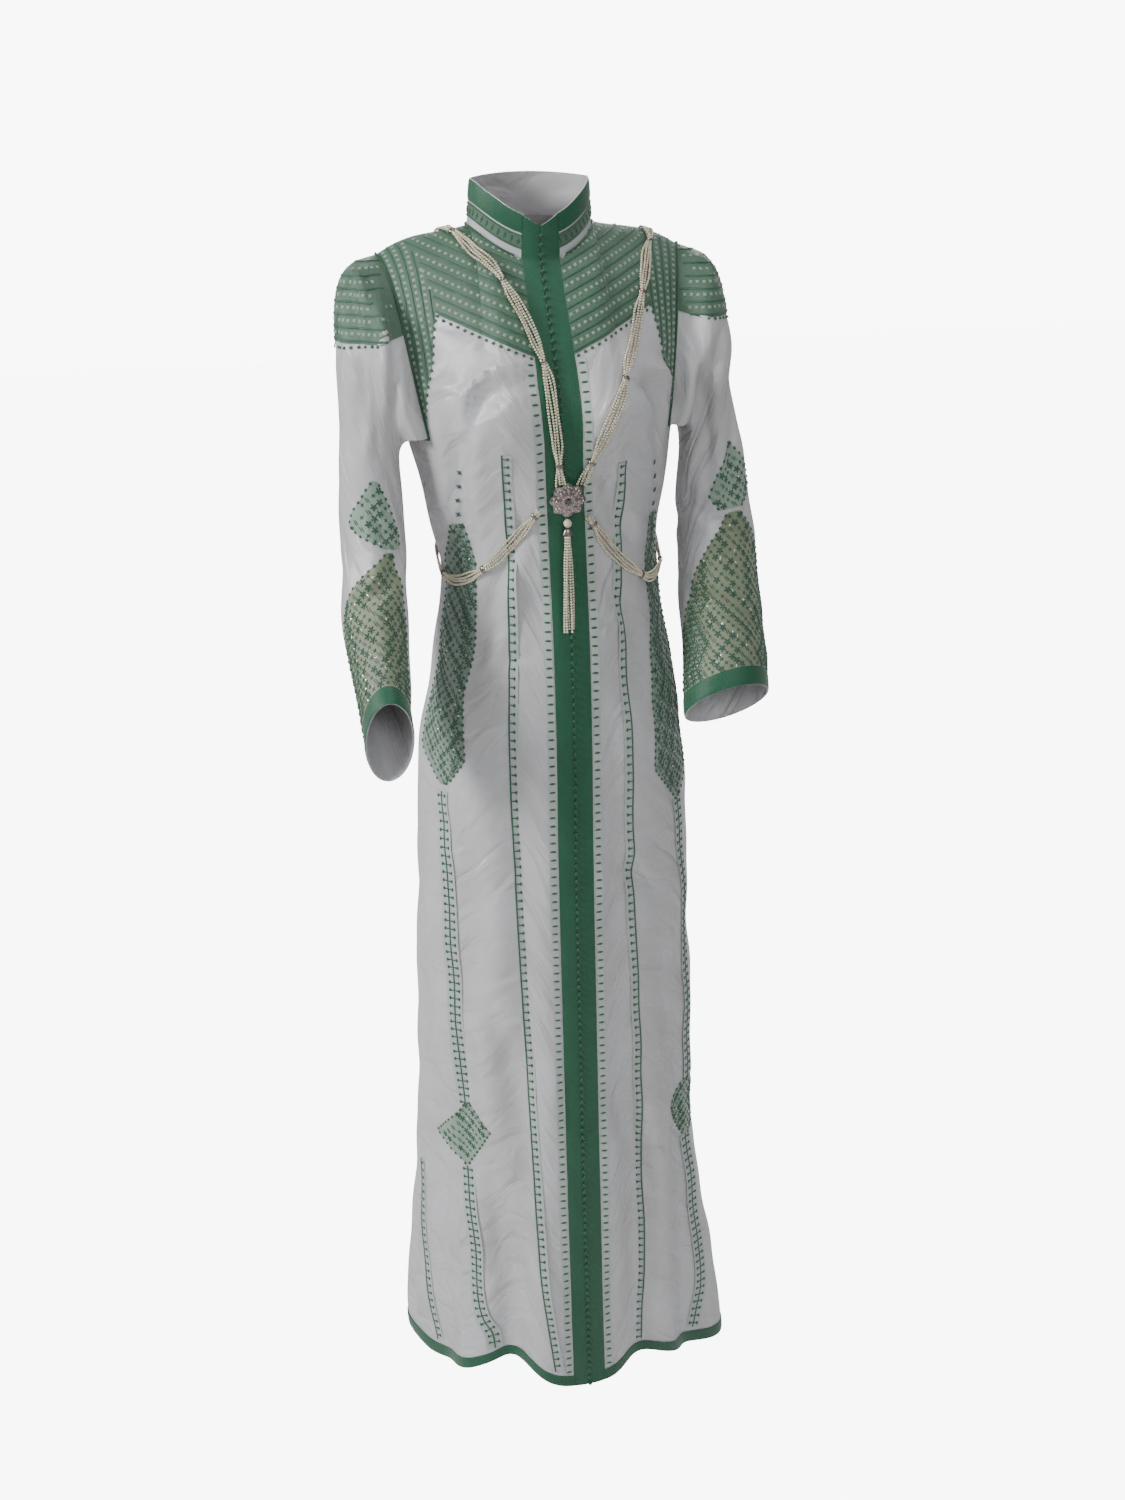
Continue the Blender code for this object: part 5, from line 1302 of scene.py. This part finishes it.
MOTIF_PITCH, MOTIF_MARGIN, MOTIF_ROWS, MOTIF_COLUMNS = 0.0116, 0.004, 50, 32
FIRST_PLACE, MOST_ASIDE, ROWS_ABOVE = 0.6, 80, 0.2
SEQUIN_SHARE, SEQUIN_DOWN, SEQUIN_ACROSS = 0.12, 0.05, 0.25
rng = np.random.default_rng(7)


def motif_sides(motif, rows):
    """The motif's left and right columns at these rows."""
    at = [edge.row for edge in motif.edges]
    return (np.interp(rows, at, [edge.left for edge in motif.edges]),
            np.interp(rows, at, [edge.right for edge in motif.edges]))


def slanting_places(panel, motif, pitch, margin):
    """Row and column numbers inside a motif on a lattice turned by 45 degrees, at a pitch in metres: rows
    half a pitch apart, of which every second one is moved half a pitch across."""
    first, last = motif.edges[0].row, motif.edges[-1].row
    row = (first + last) / 2
    column = np.mean(motif_sides(motif, row))
    middle, below, beside = on_panel(panel, row + np.array([0, 1, 0]), column + np.array([0, 0, 1]))[0]
    row_length, column_length = np.linalg.norm(below - middle), np.linalg.norm(beside - middle)
    down, across, inset = pitch / 2 / row_length, pitch / column_length, margin / column_length
    k = np.arange(int((last - first) / down))
    rows = first + (k + FIRST_PLACE) * down
    columns = column + (np.arange(-MOST_ASIDE, MOST_ASIDE)[None] + 0.5 * (k[:, None] % 2)) * across
    left, right = motif_sides(motif, rows[:, None])
    inside = (columns > left + inset) & (columns < right - inset)
    return np.broadcast_to(rows[:, None], columns.shape)[inside], columns[inside]


def put(shape, panel, rows, columns, sizes=1.0):
    """Copies of a shape on a panel at these row and column numbers, each with its x down the cloth."""
    places, up = on_panel(panel, rows, columns)
    above, _ = on_panel(panel, rows - ROWS_ABOVE, columns)
    along = (places - above) / np.linalg.norm(places - above, axis=1, keepdims=True)
    return stamped(shape, places + up * THREAD_LIFT, along, up, sizes)


dark_parts, sequin_parts = [], []
for motif in MOTIFS:
    panel = turned_sleeves[motif.word] if motif.place == "sleeve" else halves[motif.word]
    rows = np.linspace(motif.edges[0].row, motif.edges[-1].row, MOTIF_ROWS)
    left, right = motif_sides(motif, rows)
    share = np.linspace(0, 1, MOTIF_COLUMNS)
    across = left[:, None] * (1 - share) + right[:, None] * share
    middle = (left.min() + right.max()) / 2
    points, normals = on_panel(panel, rows[:, None] + motif.lean * (across - middle), across)
    skin("ground_" + motif.name, points, normals, panel.outward, GROUNDS[motif.ground])
    for columns in (left, right):
        edge = on_panel(panel, rows + motif.lean * (columns - middle), columns)
        dark_parts += stitch_row(*edge, YOKE_DOTS, DOT)
    rows, columns = slanting_places(panel, motif, MOTIF_PITCH, MOTIF_MARGIN)
    rows = rows + motif.lean * (columns - middle)
    turn = np.arange(len(rows)) * 7 % 5
    for shape, chosen in ((FLORET, turn < 2), (SMALL_CROSS, (turn == 2) | (turn == 3)), (DASHES, turn == 4)):
        if chosen.any():
            dark_parts.append(put(shape, panel, rows[chosen], columns[chosen]))
    bright = rng.random(len(rows)) < SEQUIN_SHARE
    if bright.any():
        sequin_parts.append(put(SEQUIN, panel, rows[bright] + SEQUIN_DOWN, columns[bright] + SEQUIN_ACROSS))
# Four larger crosses step down above the leaf on each hip
STEPPED_ROWS, STEPPED_SIZE = np.array([9.7, 10.0, 10.3, 10.6]), 1.3
for word, columns in (("right", (9.13, 9.6, 10.1, 10.4)), ("left", (9.2, 9.5, 9.8, 10.1))):
    dark_parts.append(put(SMALL_CROSS, halves[word], STEPPED_ROWS, np.array(columns), STEPPED_SIZE))
stitches("motif_stitches", dark_parts, green_thread)

sequin_paint, tree, shader = new_material("sequins", Metallic=1.0, Roughness=0.12)
wire(tree, shader, Base_Color=two_tones(tree, object_texture(tree, "Noise", 90.0), (0.75, 0.72, 0.55, 1),
                                        (0.95, 0.95, 0.90, 1)))
made = mesh_object("sequins", *joined(sequin_parts), sequin_paint)

# The pearl harness: four strands of cream imitation pearls to each strap and belt half, threaded side
# by side and drawn together at silver ties. They lie on the cloth, from the clasp at the centre back
# over the shoulders, and round the waist, to the brooch at the centre front.
PEARL_RADIUS, PEARL_PITCH, STRAND_STEP = 0.0015, 0.0031, 0.004
STRANDS = (-1.0, -0.36, 0.36, 1.0)
SPREAD_TIED, SPREAD_FREE, SPREAD_RUN, PILED = 0.0019, 0.0050, 0.024, 0.7
SWAY, SWAY_TURN, SWAY_START, SMOOTHINGS = 0.0005, 90, 2.1, 6
TIE_SIDES, TIE_HALF_WIDTH, TIE_THICKNESS = 14, 0.0019, 0.0010
TIE_REACH_ACROSS, TIE_REACH_UP, TIE_MIDDLE = 0.0036, 0.0021, 0.0022
OVER_CLOTH, BELT_OVER_CLOTH, OVER_SHOULDER, OVER_PLACKET, OVER_KNOTS = 0.0021, 0.0015, 0.0032, 0.0029, 0.0046
Station = namedtuple("Station", "side x height lift")
RIGHT_STRAP = (
    Station("back", -0.008, -0.318, OVER_CLOTH),
    Station("back", -0.036, -0.240, OVER_CLOTH),
    Station("back", -0.064, -0.150, OVER_CLOTH),
    Station("back", -0.084, -0.070, OVER_CLOTH),
    Station("top", -0.0940, 0.030, OVER_CLOTH),
    Station("top", -0.0930, 0.004, OVER_SHOULDER),
    Station("front", -0.0820, -0.0110, OVER_SHOULDER),
    Station("front", -0.0620, -0.0290, OVER_SHOULDER),
    Station("front", -0.0420, -0.0564, OVER_CLOTH),
    Station("front", -0.0246, -0.0948, OVER_PLACKET),
    Station("front", -0.0110, -0.1354, OVER_PLACKET),
    Station("front", -0.0060, -0.1875, OVER_KNOTS),
    Station("front", 0.0030, -0.2580, OVER_KNOTS),
)
LEFT_STRAP = (
    Station("back", 0.020, -0.318, OVER_CLOTH),
    Station("back", 0.052, -0.240, OVER_CLOTH),
    Station("back", 0.082, -0.150, OVER_CLOTH),
    Station("back", 0.106, -0.070, OVER_CLOTH),
    Station("top", 0.1260, 0.030, OVER_CLOTH),
    Station("top", 0.1290, 0.004, OVER_CLOTH),
    Station("front", 0.1279, -0.0215, OVER_CLOTH),
    Station("front", 0.1215, -0.0300, OVER_CLOTH),
    Station("front", 0.1122, -0.0540, OVER_CLOTH),
    Station("front", 0.1026, -0.0795, OVER_CLOTH),
    Station("front", 0.0886, -0.1152, OVER_CLOTH),
    Station("front", 0.0703, -0.1547, OVER_CLOTH),
    Station("front", 0.0494, -0.2002, OVER_CLOTH),
    Station("front", 0.0255, -0.2590, OVER_PLACKET),
)
Turn = namedtuple("Turn", "angle height lift")
RIGHT_BELT = (
    Turn(-11, -0.2850, OVER_PLACKET),
    Turn(-24, -0.318, BELT_OVER_CLOTH),
    Turn(-44, -0.356, BELT_OVER_CLOTH),
    Turn(-58, -0.372, BELT_OVER_CLOTH),
    Turn(-72, -0.376, BELT_OVER_CLOTH),
    Turn(-86, -0.364, BELT_OVER_CLOTH),
    Turn(-105, -0.350, BELT_OVER_CLOTH),
    Turn(-130, -0.341, BELT_OVER_CLOTH),
    Turn(-155, -0.336, BELT_OVER_CLOTH),
    Turn(-171, -0.333, BELT_OVER_CLOTH),
)
LEFT_BELT = (
    Turn(9, -0.2950, OVER_PLACKET),
    Turn(22, -0.336, BELT_OVER_CLOTH),
    Turn(38, -0.368, BELT_OVER_CLOTH),
    Turn(55, -0.384, BELT_OVER_CLOTH),
    Turn(72, -0.380, BELT_OVER_CLOTH),
    Turn(88, -0.366, BELT_OVER_CLOTH),
    Turn(105, -0.350, BELT_OVER_CLOTH),
    Turn(130, -0.341, BELT_OVER_CLOTH),
    Turn(155, -0.336, BELT_OVER_CLOTH),
    Turn(175, -0.332, BELT_OVER_CLOTH),
)
# Where the ties are, as places along the tables above, counted from 0 at the first
TIES = {
    "strap_right": (0.25, 1.6, 3.2, 6.0, 8.0, 10.0, 11.8),
    "strap_left": (0.25, 1.6, 3.2, 6.7, 8.9, 11.0, 12.7),
    "belt_right": (0.2, 2.0, 4.4, 6.6, 8.8),
    "belt_left": (0.2, 2.3, 4.4, 6.6, 8.8),
}

pearl, tree, shader = new_material("pearls", Roughness=0.24, Coat_Weight=0.6, Coat_Roughness=0.08,
                                   Specular_IOR_Level=0.6, Subsurface_Weight=0.12, Subsurface_Scale=0.002)
# The pearls' colour runs at random over the beads from a dark olive to a bright cream. This is partly their
# own uneven tone, and partly painted shade and painted highlight.
each = object_texture(tree, "Noise", 320.0, Detail=1.0)
wire(tree, shader, Base_Color=two_tones(tree, each, (0.42, 0.36, 0.22, 1), (0.86, 0.82, 0.67, 1)))

silver, tree, shader = new_material("silver_setting", Metallic=1.0)
grain = object_texture(tree, "Noise", 500.0, Detail=3.0)
wire(tree, shader, Base_Color=two_tones(tree, grain, (0.10, 0.085, 0.08, 1), (0.46, 0.41, 0.38, 1)),
     Roughness=ranged(tree, grain, 0.18, 0.42))


def surface_tree(names):
    """The cloth of these panels, to be looked at from any side."""
    points, faces, start = [], [], 0
    for name in names:
        panel = panels[name]
        rows, columns = panel.points.shape[:2]
        place = np.arange(rows * columns).reshape(rows, columns) + start
        quads = np.stack(square_corners(place), axis=-1).reshape(-1, 4)
        faces += (quads if panel.outward > 0 else quads[:, ::-1]).tolist()
        points += panel.points.reshape(-1, 3).tolist()
        start += rows * columns
    return BVHTree.FromPolygons(points, faces)


def smooth_path(points, step, marks):
    """Places at about even steps on Catmull-Rom curves through the given ones, and how far along them
    the marks are, which are counted in given points."""
    at = np.linspace(0, len(points) - 1, 16 * len(points))
    fine = between_rows(np.asarray(points, float)[:, None], at)[:, 0]
    run = np.concatenate([[0], np.cumsum(np.linalg.norm(np.diff(fine[:, :3], axis=0), axis=1))])
    even = np.linspace(0, run[-1], round(run[-1] / step) + 1)
    places = np.stack([np.interp(even, run, fine[:, k]) for k in range(fine.shape[1])], axis=1)
    return places, np.interp(marks, at, run)


# Where each kind of station is looked at from, and which way
LOOKS = {"front": ((0, -1, 0), (0, 1, 0)), "back": ((0, 1, 0), (0, -1, 0)), "top": ((0, 0, 1), (0, 0, -1))}
body_tree = surface_tree(["front_right", "side_right", "back_right", "back_left", "side_left", "front_left",
                          "collar"])
ways = {}
for name, stations in (("strap_right", RIGHT_STRAP), ("strap_left", LEFT_STRAP)):
    found = []
    for station in stations:
        start, look = LOOKS[station.side]
        aimed = (station.x, station.height, 0) if station.side == "top" else (station.x, 0, station.height)
        place = body_tree.ray_cast(Vector(start) + Vector(aimed), Vector(look))[0]
        found.append((*place, station.lift))
    ways[name] = found
for name, turns in (("belt_right", RIGHT_BELT), ("belt_left", LEFT_BELT)):
    ways[name] = [(*body_surface(float(t.angle), float(t.height)), t.lift) for t in turns]

tie_parts = []
FIRST_PEARL, ODD_PEARL = 0.3, 0.5
pearl_ball = ball_shape(PEARL_RADIUS, 8, 5)
for name, stations in ways.items():
    path, tied = smooth_path(stations, STRAND_STEP, TIES[name])
    near_cloth = [body_tree.find_nearest(Vector(place[:3]))[:2] for place in path]
    line, normals = (np.array([tuple(found[k]) for found in near_cloth]) for k in (0, 1))
    for _ in range(SMOOTHINGS):
        normals[1:-1] = (normals[:-2] + 2 * normals[1:-1] + normals[2:]) / 4
        line[1:-1] = (line[:-2] + 2 * line[1:-1] + line[2:]) / 4
    normals /= np.linalg.norm(normals, axis=1, keepdims=True)
    line = line + normals * path[:, 3:]
    across = across_line(line, normals)
    run = np.concatenate([[0], np.cumsum(np.linalg.norm(np.diff(line, axis=0), axis=1))])
    free = smoothstep(np.abs(run[:, None] - tied).min(axis=1) / SPREAD_RUN)
    spread = SPREAD_TIED + (SPREAD_FREE - SPREAD_TIED) * free
    parts = []
    for number, share in enumerate(STRANDS):
        odd = number % 2
        aside = share * spread + SWAY * np.sin(run * SWAY_TURN + SWAY_START * number)
        height = PEARL_RADIUS * (1 + PILED * (1 - free) * odd)
        strand = line + across * aside[:, None] + normals * height[:, None]
        places, along, up = even_line(strand, normals, PEARL_PITCH, start=FIRST_PEARL + ODD_PEARL * odd)
        parts.append(stamped(pearl_ball, places, along, up))
    made = mesh_object("pearls_" + name, *joined(parts), pearl)
    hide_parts(name)
    turned = 2 * math.pi * np.arange(TIE_SIDES)[:, None] / TIE_SIDES
    for far in tied:
        k = int(np.argmin(np.abs(run - far)))
        ring_normals = across[k] * np.cos(turned) + normals[k] * np.sin(turned)
        ring = (line[k] + normals[k] * TIE_MIDDLE + across[k] * TIE_REACH_ACROSS * np.cos(turned)
                + normals[k] * TIE_REACH_UP * np.sin(turned))
        tie_parts.append(cord_arrays(ring, ring_normals, TIE_HALF_WIDTH, TIE_THICKNESS, 0.0, closed=True))
made = mesh_object("pearl_ties", *joined(tie_parts), silver)

# The brooch: a flower of eight oval stones with a rose tint round a dark middle stone, edged with
# small round ones, set in silver. The tassel's bead hangs from it, and a small clasp is at the back.
Stone = namedtuple("Stone", "count reach turned half_length half_width height colour")
STONES = (
    Stone(1, 0.0, 0, 0.0042, 0.0042, 0.0028, "dark"),
    Stone(12, 0.0060, 0, 0.0013, 0.0013, 0.0012, "clear"),
    Stone(8, 0.0112, 0, 0.0034, 0.0022, 0.0020, "rose"),
    Stone(8, 0.0118, 22.5, 0.0013, 0.0013, 0.0012, "clear"),
    Stone(8, 0.0160, 0, 0.0014, 0.0014, 0.0012, "clear"),
    Stone(16, 0.0155, 11.25, 0.0012, 0.0012, 0.0010, "clear"),
)
# Each stone's pair runs from a dark to a light tone over small cells. The light end is the stone's own tint,
# and the dark-to-light spread is painted facet reflection and glint.
STONE_COLOURS = {
    "clear": ((0.10, 0.09, 0.10, 1), (0.90, 0.88, 0.90, 1)),
    "rose": ((0.10, 0.04, 0.05, 1), (0.72, 0.44, 0.42, 1)),
    "dark": ((0.030, 0.022, 0.024, 1), (0.12, 0.07, 0.08, 1)),
}
LOOKED_ROUND, LOOKED_FROM = 0.012, 0.03
low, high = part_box("brooch")
brooch_middle = (np.array(low) + np.array(high)) / 2
cloth_normals = [body_tree.find_nearest(Vector(brooch_middle) + Vector((dx, 0, dz)))[1]
                 for dx in (-LOOKED_ROUND, LOOKED_ROUND) for dz in (-LOOKED_ROUND, LOOKED_ROUND)]
outward = np.array(sum(cloth_normals, Vector()).normalized())
right = np.cross((0, 0, 1), outward)
right /= np.linalg.norm(right)
upward = np.cross(outward, right)
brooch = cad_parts["brooch"]
brooch_tree = BVHTree.FromPolygons([vertex.co for vertex in brooch.data.vertices],
                                   [tuple(face.vertices) for face in brooch.data.polygons])
stone_parts = {word: [] for word in STONE_COLOURS}
for stone in STONES:
    for k in range(stone.count):
        a = math.radians(90 + stone.turned) + 2 * math.pi * k / stone.count
        way = right * math.cos(a) + upward * math.sin(a)
        start = brooch_middle + way * stone.reach + outward * LOOKED_FROM
        hit = brooch_tree.ray_cast(Vector(start), Vector(-outward))[0]
        if hit is None:
            continue
        shape = pad_shape(Pad(0, 0, 0, stone.half_length, stone.half_width, stone.height))
        stone_parts[stone.colour].append(stamped(shape, np.array([hit]), way[None], outward[None]))
for word, parts in stone_parts.items():
    gem, tree, shader = new_material(word + "_stones", Roughness=0.06, Coat_Weight=1.0, Coat_Roughness=0.03,
                                     Metallic=0.55, Specular_IOR_Level=0.9)
    # Painted facet reflection and glint: the colour runs from dark to light over small cells.
    painted_facet_glint = object_texture(tree, "Voronoi", 900.0, "Distance")
    wire(tree, shader, Base_Color=two_tones(tree, painted_facet_glint, *STONE_COLOURS[word]),
         Normal=raised(tree, painted_facet_glint, 0.5, 0.0003))
    made = mesh_object("brooch_" + word + "_stones", *joined(parts), gem)
for name in ("brooch", "back_clasp"):
    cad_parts[name].data.materials.clear()
    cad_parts[name].data.materials.append(silver)

# The tassel: a large pearl under the brooch, a silver cap, and five strands of pearls of uneven length.
# The strands start close together under the cap, fan out, and sway a little as they hang.
Hung = namedtuple("Hung", "x y shorter")
TASSEL_STRANDS = (
    Hung(-0.0046, 0.0, 0.0),
    Hung(-0.0023, -0.0016, 0.00175),
    Hung(0.0, 0.0012, 0.0035),
    Hung(0.0023, -0.0014, 0.000875),
    Hung(0.0046, 0.0002, 0.002625),
)
STRAND_TOP, STRAND_END, TOP_SHARE, SWAY_X, SWAY_Y = 0.006, 0.002, 0.55, 0.0007, 0.0005
low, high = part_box("tassel_bead")
middle, radius = (np.array(low) + np.array(high)) / 2, (high[2] - low[2]) / 2
ball = ball_shape(radius, 24, 14)
made = mesh_object("tassel_pearl", ball[0] + middle, ball[1], ball[2], pearl)
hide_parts("tassel_bead")
low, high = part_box("tassel")
top = np.array([(low[0] + high[0]) / 2, (low[1] + high[1]) / 2, high[2]])
drop = np.linspace(0, 1, 60)
front_normals = np.tile([0.0, -1.0, 0.0], (len(drop), 1))
parts = []
for number, strand in enumerate(TASSEL_STRANDS):
    length = high[2] - low[2] - STRAND_TOP - STRAND_END - strand.shorter
    fanned = TOP_SHARE + (1 - TOP_SHARE) * smoothstep(drop * 3)
    line = top + np.stack([strand.x * fanned + SWAY_X * np.sin(drop * 5 + number),
                           strand.y + SWAY_Y * np.sin(drop * 6 + 2 * number),
                           -STRAND_TOP - length * drop], axis=1)
    places, along, up = even_line(line, front_normals, PEARL_PITCH)
    parts.append(stamped(pearl_ball, places, along, up))
made = mesh_object("tassel_pearls", *joined(parts), pearl)
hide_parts("tassel")
Rim = namedtuple("Rim", "radius height")
CAP_PROFILE = (
    Rim(0.0006, 0.0),
    Rim(0.0026, -0.0006),
    Rim(0.0040, -0.0026),
    Rim(0.0054, -0.0060),
    Rim(0.0058, -0.0078),
    Rim(0.0050, -0.0082),
)
CAP_SIDES, CAP_FLATNESS = 16, 0.55
turned = 2 * math.pi * np.arange(CAP_SIDES) / CAP_SIDES
rings = np.array([np.stack([rim.radius * np.cos(turned), CAP_FLATNESS * rim.radius * np.sin(turned),
                            np.full(CAP_SIDES, rim.height)], axis=1) for rim in CAP_PROFILE])
place = np.arange(len(rings) * CAP_SIDES).reshape(-1, CAP_SIDES)
after = np.roll(place, -1, axis=1)
quads = np.stack([place[:-1], place[1:], after[1:], after[:-1]], axis=-1).reshape(-1, 4)
faces = np.concatenate([quads.ravel(), place[0], place[-1][::-1]])
sizes = np.array([4] * len(quads) + [CAP_SIDES, CAP_SIDES])
made = mesh_object("tassel_cap", rings.reshape(-1, 3) + top, faces, sizes, silver)
